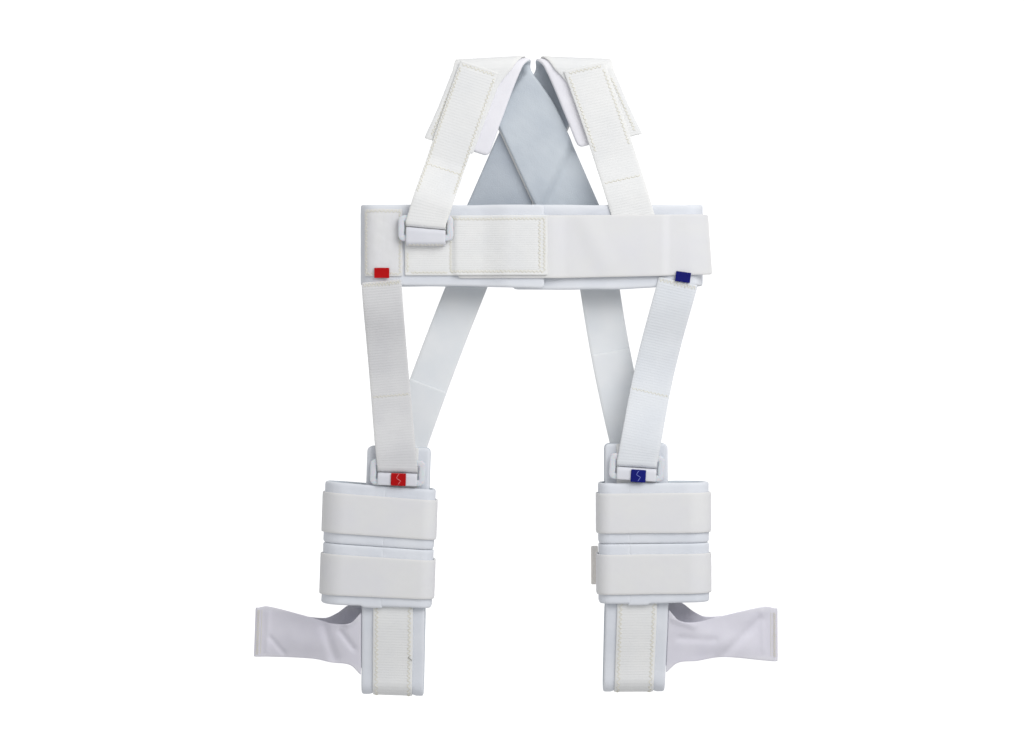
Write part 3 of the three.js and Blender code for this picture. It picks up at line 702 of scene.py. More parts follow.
@dataclass(frozen=True)
class ClothFinish:
    """A woven, knitted or felted finish.

    The weave is the pitch of its yarns along and across in millimetres, and yarn how deep they show.
    The fibre is the scale of its loose hairs in waves a metre.
    """

    name: str
    slot: str
    colour: Rgb
    # The shade is a darker tone for the broad mottle and for the painted shade in the yarns' hollows
    shade: Rgb
    worn: Rgb
    weave: Pair
    yarn: float
    fibre: float
    hairs: float
    roughness: float = 0.85
    sheen: float = 0.2

    def material(self) -> bpy.types.Material:
        """Makes the material: mottled colour, yarns with painted shade in the hollows between them, loose
        hairs and rims that are slightly worn.
        """
        graph = Graph(
            self.name, Roughness=self.roughness, Specular_IOR_Level=0.15, Sheen_Weight=self.sheen,
            Sheen_Roughness=0.45, Sheen_Tint=(0.96, 0.97, 1.0, 1.0),
        )
        along, across, rim = graph.cloth_place()
        warp = graph.maths("SINE", graph.maths("MULTIPLY", along, 2 * math.pi / self.weave[0]))
        weft = graph.maths("SINE", graph.maths("MULTIPLY", across, 2 * math.pi / self.weave[1]))
        yarns = graph.maths("MULTIPLY_ADD", graph.maths("MULTIPLY", warp, weft), 0.5, 0.5)
        fine = graph.noise(self.fibre, 4.0)
        broad = graph.noise(45.0, 2.0)
        mottle = graph.ramp(broad, 0.35, 0.7, 0.75)
        body = graph.mix(mottle, linear(self.colour), linear(self.shade))
        # Painted shade: the hollows between the yarns are mixed towards the shade tone
        painted_yarn_shade = graph.maths("MULTIPLY", graph.maths("SUBTRACT", 1.0, yarns), self.yarn * 0.35)
        body = graph.mix(painted_yarn_shade, body, linear(self.shade))
        specks = graph.ramp(fine, 0.62, 0.8, 0.35 * self.hairs)
        body = graph.mix(specks, body, linear(self.worn))
        wear = graph.maths("MULTIPLY", rim, graph.maths("MULTIPLY_ADD", fine, 0.6, 0.1))
        graph.join(graph.mix(wear, body, linear(self.worn)), "Base Color")
        rough = graph.maths("MULTIPLY_ADD", fine, 0.18, self.roughness - 0.09)
        graph.join(rough, "Roughness")
        height = graph.maths("MULTIPLY", yarns, self.yarn)
        height = graph.maths("MULTIPLY_ADD", fine, self.hairs, height)
        graph.raise_by(height, 0.0003, 0.55)
        return graph.material


@dataclass(frozen=True)
class PlasticFinish:
    """Moulded plastic with fine grain, broad changes of tone and a little light inside it."""

    name: str
    slot: str
    colour: Rgb
    shade: Rgb

    def material(self) -> bpy.types.Material:
        """Makes the material."""
        graph = Graph(self.name, Roughness=0.5, IOR=1.49, Subsurface_Weight=0.15, Subsurface_Scale=0.002)
        grain = graph.noise(900.0, 3.0)
        broad = graph.noise(120.0, 2.0)
        graph.join(graph.mix(broad, linear(self.colour), linear(self.shade)), "Base Color")
        graph.join(graph.maths("MULTIPLY_ADD", grain, 0.2, 0.4), "Roughness")
        graph.raise_by(grain, 0.00005, 0.3)
        return graph.material


Finish = ClothFinish | PlasticFinish



def felt_finish(name: str, *tones: Rgb, fibre: float = 1500.0, hairs: float = 1.0) -> ClothFinish:
    """Felt, by the end of its name and its tones: its own, in the shade and worn."""
    return ClothFinish(f"felt_{name}", "felt", *tones, (0.9, 0.9), 0.1, fibre, hairs, 0.95, 0.3)


def webbing_finish(name: str, *tones: Rgb, yarn: float = 0.6) -> ClothFinish:
    """Ribbed webbing, in the same way."""
    return ClothFinish(f"webbing_{name}", "webbing", *tones, (0.85, 0.6), yarn, 2600.0, 0.4)


def smooth_finish(name: str, *tones: Rgb, yarn: float = 0.45) -> ClothFinish:
    """Smooth strap, by its whole name and its tones."""
    return ClothFinish(name, "smooth_strap", *tones, (0.7, 0.7), yarn, 2200.0, 0.35)


def ribbon_finish(name: str, *tones: Rgb) -> ClothFinish:
    """Coloured ribbon, by its colour's name and its tones."""
    return ClothFinish(f"ribbon_{name}", f"{name}_ribbon", *tones, (0.5, 0.45), 0.6, 2600.0, 0.4, 0.6, 0.1)


def thread_finish(name: str, slot: str, *tones: Rgb, roughness: float = 0.7) -> ClothFinish:
    """Sewing thread, by the end of its name, the slot that it belongs to and its tones."""
    return ClothFinish(f"thread_{name}", slot, *tones, (0.6, 0.6), 0.3, 3000.0, 0.5, roughness)


OUTER_FELT = felt_finish("outer", (230, 233, 239), (219, 223, 231), (238, 240, 243))
# A paler copy of the outer felt for the shoulder pads: painted light for the brighter light at the shoulders
PALE_LIT_FELT = felt_finish("pale", (241, 240, 245), (233, 232, 239), (246, 245, 248))
# Bluish grey felt of the inner faces: partly its own cooler tone, partly painted shade for the shadow inside
# the folds
SHADED_INNER_FELT = felt_finish("inner", (205, 212, 219), (190, 198, 207), (217, 223, 228), fibre=1300.0, hairs=1.2)
# A still darker copy of the inner felt for the right pad's lining, which lies under the left strap: painted
# shade
DEEP_SHADED_UNDER_FELT = felt_finish("under", (192, 199, 207), (177, 185, 195), (205, 211, 217), fibre=1300.0, hairs=1.2)
RIBBED_WEBBING = webbing_finish("ribbed", (243, 243, 242), (235, 236, 237), (246, 245, 240))
SHADED_WEBBING = webbing_finish("rear", (240, 242, 244), (231, 235, 239), (243, 244, 243), yarn=0.5)
# Darker copies of the ribbed webbing for the front leg straps: painted shade, deeper on the left strap,
# which sags and leans away from the light, and cooler on the right
LEFT_SHADED_WEBBING = webbing_finish("dull", (226, 226, 227), (214, 214, 217), (232, 231, 228))
RIGHT_SHADED_WEBBING = webbing_finish("cool", (232, 235, 239), (222, 226, 232), (238, 239, 240))
TAB_CLOTH = smooth_finish("tab_smooth", (228, 229, 235), (219, 220, 228), (234, 234, 237), yarn=0.4)
SMOOTH_STRAP = smooth_finish("strap_smooth", (233, 233, 233), (229, 229, 233), (238, 236, 230))
# Beige band end painted near white: painted light to lift it out of the shade that the cuff casts on it
BEIGE_PAINTED_LIGHT_STRAP = smooth_finish("strap_beige", (254, 251, 246), (250, 246, 240), (255, 253, 250))
KNIT_CLOTH = ClothFinish(
    "cloth_knit", "knit_cloth", (231, 229, 238), (222, 220, 231), (238, 237, 241),
    (0.7, 0.5), 0.6, 1800.0, 0.5, 0.9,
)
RED_RIBBON = ribbon_finish("red", (200, 0, 8), (172, 0, 6), (208, 20, 26))
BLUE_RIBBON = ribbon_finish("blue", (12, 22, 122), (6, 10, 96), (26, 40, 146))
SEWING_THREAD = thread_finish("cream", "webbing", (238, 235, 222), (229, 225, 209), (216, 210, 190))
LOOSE_THREAD = thread_finish("dark", "webbing", (70, 72, 74), (54, 56, 60), (96, 96, 96))
PINK_THREAD = thread_finish(
    "pink", "red_ribbon", (240, 150, 150), (228, 120, 124), (246, 190, 188), roughness=0.6
)
PALE_BLUE_THREAD = thread_finish(
    "pale_blue", "blue_ribbon", (130, 140, 215), (100, 112, 200), (170, 178, 230), roughness=0.6
)
RING_PLASTIC = PlasticFinish("plastic_ring", "ring_plastic", (222, 225, 230), (214, 218, 224))


class Held(Enum):
    """How a sheet is held, as a word."""

    FOLDED = "folded"
    LAID = "laid"
    STRETCHED = "stretched"
    GATHERED = "gathered"


@dataclass
class Stitches:
    """What is sewn on one sheet: its seams, the face that shows them and the thread."""

    seams: list[Seam]
    skin: Skin
    finish: Finish = SEWING_THREAD
    thread: Thread = field(default_factory=Thread)


class Workroom:
    """Makes the objects: it holds the harness's place in the frame and the materials made so far."""

    WORN_RIM = 0.9

    def __init__(self) -> None:
        """Finds where the harness's own frame lies, from the chest band's and its webbing's boxes."""
        low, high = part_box("chest_pad")
        across_low, across_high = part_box("chest_webbing")
        middle = (low.x + high.x) / 2 / MILLIMETRE - ChestBand.SHIFT
        self.origin = np.array([middle, (across_low.y + across_high.y) / 2 / MILLIMETRE, 0.0])
        self.materials: dict[str, bpy.types.Material] = {}
        self.triangles = 0

    def material(self, finish: Finish) -> bpy.types.Material:
        """The finish's material, made once."""
        if finish.name not in self.materials:
            self.materials[finish.name] = finish.material()
        return self.materials[finish.name]

    def make(self, name: str, points: Array, faces: Array, finishes: Sequence[Finish]) -> Object:
        """Makes a smooth mesh object that rides on the harness.

        Args:
            name: the piece's name.
            points: its points in millimetres, in the harness's own frame.
            faces: its quads or triangles.
            finishes: its finishes, each added as a material slot.

        Returns:
            The object.
        """
        mesh = bpy.data.meshes.new(name)
        placed = (points + self.origin) * MILLIMETRE
        mesh.from_pydata(placed.tolist(), [], np.asarray(faces).tolist())
        mesh.polygons.foreach_set("use_smooth", [True] * len(mesh.polygons))
        mesh.update()
        for finish in finishes:
            mesh.materials.append(self.material(finish))
        made = new_object(name, mesh)
        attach(made, "root")
        count = sum(len(polygon.vertices) - 2 for polygon in mesh.polygons)
        self.triangles += count
        LOG.info("%s: %d triangles", name, count)
        return made

    def sew(self, name: str, sheet: Sheet, stitches: Iterable[Stitches]) -> list[Object]:
        """Makes the thread of a sheet's seams, one piece for each lot of stitches."""
        made = []
        for number, lot in enumerate(stitches):
            points, faces, start = [], [], 0
            for seam in lot.seams:
                tube_points, tube_faces = lot.thread.tube(*lot.thread.path(sheet, seam, lot.skin))
                points.append(tube_points)
                faces.append(tube_faces + start)
                start += len(tube_points)
            label = f"{name}_stitches_{number + 1}" if number else f"{name}_stitches"
            made.append(self.run_thread(label, np.concatenate(points), np.concatenate(faces), lot.finish))
        return made

    def run_thread(self, name: str, points: Array, faces: Array, finish: Finish) -> Object:
        """Makes a piece of thread from its tubes."""
        piece = self.make(name, points, faces, [finish])
        self.mark_cloth(piece, np.zeros((len(points), 3)))
        return piece

    def snip(self, name: str, sheet: Sheet, finish: ClothFinish) -> Object:
        """Makes a piece of cloth that is too small to be a cut sheet of its own."""
        points, faces, spots, _ = sheet.mesh_data()
        piece = self.make(name, points, faces, [finish])
        self.mark_cloth(piece, np.column_stack([spots, np.zeros(len(spots))]))
        return piece

    def ribbon(
        self, node: str, sheet: Sheet, finish: ClothFinish, stitches: Sequence[Stitches] = ()
    ) -> list[Object]:
        """Makes a colour mark, which goes with the sheet below it.

        Args:
            node: the node that it stands for.
            sheet: its shape.
            finish: its finish.
            stitches: what is sewn on it.

        Returns:
            Its piece and its threads.
        """
        piece = self.snip(f"{node}_ribbon", sheet, finish)
        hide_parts(node)
        return [piece, *self.sew(node, sheet, stitches)]

    @staticmethod
    def mark_cloth(piece: Object, spots: Array) -> None:
        """Writes each point's place on its cloth, which the finishes read."""
        marks = piece.data.attributes.new("cloth", "FLOAT_VECTOR", "POINT")
        marks.data.foreach_set("vector", np.ascontiguousarray(spots, dtype=np.float32).ravel())

    def lay(
        self, node: str, sheet: Sheet, finish: ClothFinish, held: Held = Held.LAID,
        rests_on: Sequence[str] = (), lining: tuple[ClothFinish, Skin] | None = None,
        stitches: Sequence[Stitches] = (), extras: Sequence[Object] = (),
    ) -> Object:
        """Args:
            node: the node that it stands for.
            sheet: its shape.
            finish: its finish.
            held: how it is held; not used.
            rests_on: the nodes that it lies on; not used.
            lining: a second finish and the skin that has it.
            stitches: what is sewn on it.
            extras: other pieces that go with it.

        Returns:
            The piece.
        """
        points, faces, spots, skin = sheet.mesh_data()
        finishes = [finish, lining[0]] if lining else [finish]
        piece = self.make(f"{node}_cloth", points, faces, finishes)
        if lining:
            wanted = 0 if lining[1] is Skin.OUT else 1
            piece.data.polygons.foreach_set("material_index", (skin == wanted).astype(int).tolist())
        wide = float(sheet.width.mean())
        rim = np.minimum(wide / 2 - np.abs(spots[:, 1]), np.minimum(spots[:, 0], sheet.length - spots[:, 0]))
        nearness = np.exp(-np.clip(rim, 0, None) / self.WORN_RIM)
        self.mark_cloth(piece, np.column_stack([spots, nearness]))
        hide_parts(node)
        others = [*self.sew(node, sheet, stitches), *extras]
        return piece


@dataclass(frozen=True)
class Seat:
    """Where a ring lies: its middle, its turn and the levels of what is piled there.

    The face is 1 where its strap comes from above and -1 where it comes from below.
    """

    x: float
    y: float
    turn: float
    levels: dict[str, Level]
    face: int = 1


class Ring:
    """A flat moulded ring, the tab that holds it and the strap that runs through it."""

    BAR = 4.0
    WINDOW = 8.5
    SIDE_PLAY = 0.8
    CORNER = 3.2
    CORNER_PLAY = 0.6
    SQUARENESS = 0.55
    WIDTH = NARROW_STRAP + 2 * (SIDE_PLAY + BAR)
    HEIGHT = WINDOW + 2 * BAR
    LOOP_RADIUS = (RING_THICKNESS + WEBBING) / 2 + GAP
    LOOP_OUTSIDE = LOOP_RADIUS + WEBBING / 2
    LOOP_CENTRE = LOOP_OUTSIDE + GAP / 2

    def __init__(self, seat: Seat, place: Place | None = None) -> None:
        """Seats the ring; place carries its points into the harness's frame."""
        self.seat = seat
        self.place = place or (lambda points: points)

    def settle(self, points: Array) -> Array:
        """Carries points from round the ring's middle into the harness's frame."""
        return self.place(turned(points, self.seat.turn) + np.array([self.seat.x, self.seat.y, 0.0]))

    def build(self, room: Workroom, node: str) -> Object:
        """Makes the ring: a rounded bar swept round a rounded rectangle."""
        radius = self.CORNER - self.BAR / 2 + self.CORNER_PLAY
        half = np.array([(self.WIDTH - self.BAR) / 2 - radius, (self.HEIGHT - self.BAR) / 2 - radius])
        line, outward = [], []
        for corner, start in enumerate((0, 90, 180, 270)):
            sign = np.array([(1, 1), (-1, 1), (-1, -1), (1, -1)][corner])
            for angle in np.linspace(start, start + 90, 9):
                way = np.array([math.cos(math.radians(angle)), math.sin(math.radians(angle))])
                line.append(sign * half + radius * way)
                outward.append(way)
        line, outward = np.array(line), np.array(outward)
        around_bar = np.linspace(0, 2 * math.pi, 16, endpoint=False)
        cos, sin = np.cos(around_bar), np.sin(around_bar)
        bulge = np.sign(cos) * np.abs(cos) ** self.SQUARENESS * self.BAR / 2
        height = np.sign(sin) * np.abs(sin) ** self.SQUARENESS * RING_THICKNESS / 2
        flat = line[:, None, :] + bulge[None, :, None] * outward[:, None, :]
        level = self.seat.levels["ring"].middle
        points = np.concatenate([flat, np.broadcast_to(level + height, flat.shape[:2])[..., None]], axis=-1)
        index = np.arange(points.shape[0] * points.shape[1]).reshape(points.shape[:2])
        ahead, beside = np.roll(index, -1, axis=0), np.roll(index, -1, axis=1)
        both = np.roll(ahead, -1, axis=1)
        faces = np.stack([index, ahead, both, beside], axis=-1).reshape(-1, 4)
        ring = room.make(f"{node}_moulded", self.settle(points.reshape(-1, 3)), faces, [RING_PLASTIC])
        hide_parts(node)
        return ring

    def tab(self, foot: float = 0.0, slant: float = 0.0) -> Sheet:
        """The tab folded round the ring's lower bar; its foot, where it has one, is sewn down below."""
        levels, face = self.seat.levels, self.seat.face
        over, under = levels["over"].middle, levels["under"].middle
        bar, fold = -self.HEIGHT / 2, -self.LOOP_CENTRE
        end = bar - foot
        start = under + face * (WEBBING + GAP) if foot > 0 else over
        route = Route(end, start, 0)
        if foot > 0:
            route.to(bar - WEBBING / 2, over, 0.2)
        route.to(fold, over, 0.5).fold(fold, levels["ring"].middle, -180 * face, 0.6).to(end, under, 1)

        def edges(marks: Array) -> Edges:
            near = ease(1 - np.abs(marks - 0.55) / 0.2)
            return around(np.zeros_like(marks), np.full_like(marks, NARROW_STRAP - 0.4), slant * near)

        return Sheet(route, centred(WEBBING), edges, pitch=0.8, place=self.settle, seed=7)


@dataclass(frozen=True)
class RingStrap:
    """A strap from its sewn start to a ring: over the upper bar, through the window and back as a tail.

    Heights are its levels at shares of its length. Sag and lean bend the real cloth a little more
    than the plain strip: sag in millimetres and lean as a slope across the strap.
    """

    start: Triple
    heights: tuple[Pair, ...]
    target: Seat
    tail: float
    bow: float
    slant: float
    sag: float = 0.0
    lean: float = 0.0
    seed: int = 3
    weave: Weave = Weave.CROSS_RIBS
    WAVE = 0.25
    WAVE_LENGTH = 60.0
    SCALLOP = 0.12

    def sheet(self, seams: Callable[["RingStrap", float], list[Seam]]) -> Sheet:
        """Shapes the strap.

        Args:
            seams: gives the seams from the strap and its length.

        Returns:
            The sheet.
        """
        x, y, height = self.start
        target, face = self.target, self.target.face
        fold_y = target.y + Ring.LOOP_CENTRE
        length = y - fold_y
        lean = (x - target.x) / length
        skew = abs(lean) * NARROW_STRAP / 2
        clear = 1 - (Ring.HEIGHT / 2 + WEBBING + skew - Ring.LOOP_CENTRE) / length
        closed = clear - 2 * Ring.LOOP_RADIUS / length
        over, ring = target.levels["over"].middle, target.levels["ring"].middle
        rows = [*self.heights, (clear, over), (1.0, over)]

        def height_at(mark: float) -> float:
            after = max(next(i for i, row in enumerate(rows) if row[0] >= mark - 1e-9), 1)
            (at_from, from_height), (at_to, to_height) = rows[after - 1], rows[after]
            return float(lerp(from_height, to_height, ease((mark - at_from) / (at_to - at_from))))

        route = Route(y, height, 0)
        steps = math.ceil(length / Route.STEP)
        for i in range(1, steps + 1):
            route.add(y - length * i / steps, height_at(i / steps), i / steps)
        route.fold(fold_y, ring, 180 * face, 1)
        back = 1 - self.tail
        for mark in np.linspace(1, back, math.ceil(self.tail * length / Route.STEP))[1:]:
            apart = lerp(WEBBING + GAP, 2 * Ring.LOOP_RADIUS, ease((mark - closed) / (clear - closed)))
            route.add(y - length * mark, height_at(mark) - face * apart, mark)

        def edges(marks: Array) -> Edges:
            bend = self.bow * length * np.sin(np.pi * marks)
            near = ease((marks - closed) / (1 - closed))
            wide = NARROW_STRAP * lerp(math.cos(math.atan(lean)), 1, near)
            return around(lerp(x, target.x, marks) + bend, wide, lerp(-lean, self.slant, near))

        def hang(px: Array, py: Array, _: Array) -> Array:
            share = np.clip((y - py) / length, 0, 1)
            free = ease((share - 0.1) / 0.25) * ease((0.95 - share) / 0.3)
            middle = lerp(x, target.x, share) + self.bow * length * np.sin(np.pi * share)
            wave = self.WAVE * unevenness(px, py, self.WAVE_LENGTH, self.seed)
            return free * (self.lean * (px - middle) - self.sag + wave)

        return Sheet(
            route, centred(WEBBING), edges, pitch=0.425, lane=2.0, lift=hang, weave=self.weave,
            scallop=self.SCALLOP if self.weave.value[0] else 0.0, seed=self.seed, seams=seams(self, length),
        )


@dataclass
class ChestBand:
    """The closed chest band: its felt, ribbed webbing, closure strap and pile patch."""

    room: Workroom
    WIDTH = 219.0
    HEIGHT = 52.0
    SHIFT = 10.0
    LEFT = SHIFT - WIDTH / 2
    RIGHT = SHIFT + WIDTH / 2
    # Half of the back's flat part, and the run in which it comes down beside that
    REST = 62.0
    DROOP = 15.0
    REAR_STRAP_START = 11.0
    # Ends of the layers, by shares of the width from the left end
    UNDER_END = LEFT + 0.4435 * WIDTH
    OVER_END = LEFT + 0.536 * WIDTH
    WEBBING_LEFT = LEFT + 0.132 * WIDTH
    WEBBING_RIGHT = LEFT + 0.545 * WIDTH
    CLOSURE_LEFT = LEFT + 0.287 * WIDTH
    CLOSURE_RIGHT = LEFT + 1.018 * WIDTH
    PATCH_LEFT = LEFT + 0.014 * WIDTH
    PATCH_RIGHT = LEFT + 0.125 * WIDTH
    PATCH_TOP = 0.45 * HEIGHT
    PATCH_BOTTOM = -0.375 * HEIGHT
    REAR_INSET = 7.0
    LAP_RUN = 20.0
    CLOSURE_DROP = 12.0
    CLOSURE_RISE = 6.0
    LAP_END = UNDER_END - GAP
    LAP_START = LAP_END - LAP_RUN
    LAP_RISE = FELT + GAP
    EDGES = Table(
        (0, 0.6, 1, 2, 2.1, 2.9, 3, 4, 4.4, 5),
        {
            "bottom": (-0.535, -0.535, -0.495, -0.49, -0.49, -0.49, -0.49, -0.485, -0.5, -0.53),
            "inset": (0, 0, 0, 0, 1, 1, 0, 0, 0, 0),
        },
    )

    def __post_init__(self) -> None:
        """Works out the bends at the band's two ends."""
        self.radius = (CHEST["under"].middle - FELT / 2) / 2
        self.middle = FELT / 2 + self.radius
        self.bend = self.radius + FELT / 2

    def back_lift(self, x: Array, y: Array, z: Array) -> Array:
        """How far the back rides up over the crossed straps above and the rear leg straps below."""
        within = 1 - ease((np.abs(x - self.SHIFT) - self.REST) / self.DROOP)
        on_pads = ease((y + self.REAR_STRAP_START - 2) / (self.REAR_STRAP_START - 4))
        rise = lerp(WEBBING + GAP, PAD["felt"].high + GAP, on_pads)
        return np.where(z > self.middle, 0, within * rise * ease((self.middle - z) / self.radius))

    def felt(self) -> Sheet:
        """The felt band, one strip round the chest with its left half lapped over its right half."""
        front, back = CHEST["under"].middle, FELT / 2
        route = Route(self.UNDER_END, front, 0).to(self.RIGHT - self.bend, front, 1)
        route.fold(self.RIGHT - self.bend, self.middle, -180, 2)
        route.to(self.SHIFT + self.REST + self.DROOP, back, 2.1).to(self.SHIFT + self.REST, back, 2.2)
        route.to(self.SHIFT - self.REST, back, 2.8).to(self.SHIFT - self.REST - self.DROOP, back, 2.9)
        route.to(self.LEFT + self.bend, back, 3).fold(self.LEFT + self.bend, self.middle, -180, 4)
        route.to(self.LAP_START, front, 4.5).to(self.LAP_END, front + self.LAP_RISE, 4.7)
        route.to(self.OVER_END, front + self.LAP_RISE, 5)

        def edges(marks: Array) -> Edges:
            inset = self.REAR_INSET * self.EDGES.read("inset", marks)
            wobble = 0.35 * unevenness(marks * 60, marks * 0, 45.0, 12)
            low = self.HEIGHT * self.EDGES.read("bottom", marks) - wobble
            return low, self.HEIGHT / 2 - inset + wobble, 0.0

        return Sheet(
            route, centred(FELT), edges, across=True, lift=self.back_lift, corner=3.0, fuzz=0.09, seed=2
        )

    def webbing(self) -> Sheet:
        """The ribbed webbing on the left half, stitched round in a box."""
        low = ON_UNDER.middle
        raised = low + SMOOTH + GAP
        route = Route(self.WEBBING_LEFT, low, 0).to(self.CLOSURE_LEFT - SMOOTH * 4, low, 0.4)
        route.to(self.CLOSURE_LEFT - GAP, raised, 0.5).to(self.LAP_START, raised, 0.6)
        route.to(self.LAP_END, raised + self.LAP_RISE, 0.8).to(self.WEBBING_RIGHT, raised + self.LAP_RISE, 1)
        box = box_seam((29.0, 89.0), (-16.6, 16.6))
        seams = [
            *box,
            Seam((1.6, -17.0), (1.6, -4.5)),
            Seam((1.6, 3.0), (1.6, 16.5)),
            Seam((86.0, -15.0), (86.0, 15.0)),
            Seam((4.0, -17.2), (27.0, -17.2)),
            Seam((32.0, 17.0), (27.5, 17.0)),
        ]
        return Sheet(
            route, centred(WEBBING), steady(-WIDE_STRAP / 2, WIDE_STRAP / 2), pitch=1.0, lane=0.3625,
            across=True, weave=Weave.LONG_RIBS, seed=4, seams=seams,
        )

    def closure(self, foot_x: float) -> Sheet:
        """The smooth closure strap, pulled over the right half and the right shoulder strap's foot.

        Args:
            foot_x: the middle of that foot.

        Returns:
            The sheet.
        """
        low = CHEST["under"].high + GAP + SMOOTH / 2
        over_strap = ON_UNDER.high + GAP + SMOOTH / 2
        drop = self.WEBBING_RIGHT + 1
        clear = foot_x + NARROW_STRAP / 2 + 2
        route = Route(self.CLOSURE_LEFT, low, 0).to(self.LAP_START, low, 0.1)
        route.to(self.LAP_END, low + self.LAP_RISE, 0.15).to(drop, low + self.LAP_RISE, 0.2)
        route.to(drop + self.CLOSURE_DROP, over_strap, 0.3).to(clear, over_strap, 0.7)
        route.to(clear + self.CLOSURE_RISE, low, 0.8)
        route.to(self.RIGHT - self.bend, low, 0.9).to(self.CLOSURE_RIGHT, low - SMOOTH, 1)
        creases = [
            Crease((44.0, 14.0), (56.0, -10.0), 7.0, 0.7),
            Crease((36.0, 12.0), (44.0, -14.0), 6.0, -0.12),
            Crease((70.0, -4.0), (100.0, -2.0), 9.0, 0.25),
        ]

        def lift(x: Array, y: Array, _: Array) -> Array:
            free = ease((x - drop - 2) / 10) * ease((self.CLOSURE_RIGHT - 4 - x) / 8)
            return free * sum(crease.rise(x, y) for crease in creases)

        def edges(marks: Array) -> Edges:
            lean = np.clip(marks - 0.25, 0, 1)
            low, high = -WIDE_STRAP / 2 - 1.8 + 3.2 * lean, WIDE_STRAP / 2 + 1.2 * lean
            return low, high, -0.07 * ease((marks - 0.8) / 0.2)

        return Sheet(
            route, centred(SMOOTH), edges, pitch=1.0, across=True, lift=lift, corner=1.6, fuzz=0.03, seed=5
        )

    def patch(self) -> Sheet:
        """The pile patch at the left end, which wraps a little round the bend."""
        face = CHEST["under"].high + GAP + PATCH / 2
        bend_x = self.LEFT + self.bend
        reach = math.degrees(math.asin((bend_x - self.PATCH_LEFT) / (face - self.middle)))
        route = Route(self.PATCH_RIGHT, face, 0).to(bend_x, face, 0.5).fold(bend_x, self.middle, reach, 1)
        length = self.PATCH_RIGHT - bend_x + math.radians(reach) * (face - self.middle)
        half = (self.PATCH_TOP - self.PATCH_BOTTOM) / 2 - 1.6
        seams = box_seam((1.7, length - 1.7), (-half, half))

        def edges(marks: Array) -> Edges:
            wobble = 0.15 * unevenness(marks * 25, marks * 0, 9.0, 8)
            return self.PATCH_BOTTOM + wobble, self.PATCH_TOP + wobble, 0.0

        return Sheet(
            route, centred(PATCH), edges, pitch=0.8, lane=1.2, across=True, fuzz=0.12, seed=9, seams=seams
        )

    def build(self, foot_x: float, marks: dict[str, list]) -> None:
        """Makes the band's pieces.

        Args:
            foot_x: the middle of the right shoulder strap's foot.
            marks: pieces that go with each of the sheets, by node.
        """
        felt, webbing, patch = self.felt(), self.webbing(), self.patch()
        self.room.lay(
            "chest_pad", felt, OUTER_FELT, Held.FOLDED,
            ["shoulder_pad_left", "shoulder_pad_right", "rear_leg_strap_left", "rear_leg_strap_right"],
            lining=(SHADED_INNER_FELT, Skin.IN),
        )
        self.room.lay(
            "chest_webbing", webbing, RIBBED_WEBBING, rests_on=["chest_pad", "chest_closure"],
            stitches=[Stitches(webbing.seams, Skin.OUT)],
        )
        self.room.lay(
            "chest_closure", self.closure(foot_x), SMOOTH_STRAP,
            rests_on=["chest_pad", "front_shoulder_strap_right"], extras=marks.get("chest_closure", []),
        )
        self.room.lay(
            "pile_patch", patch, SMOOTH_STRAP, rests_on=["chest_pad"],
            stitches=[Stitches(patch.seams, Skin.IN)], extras=marks.get("pile_patch", []),
        )


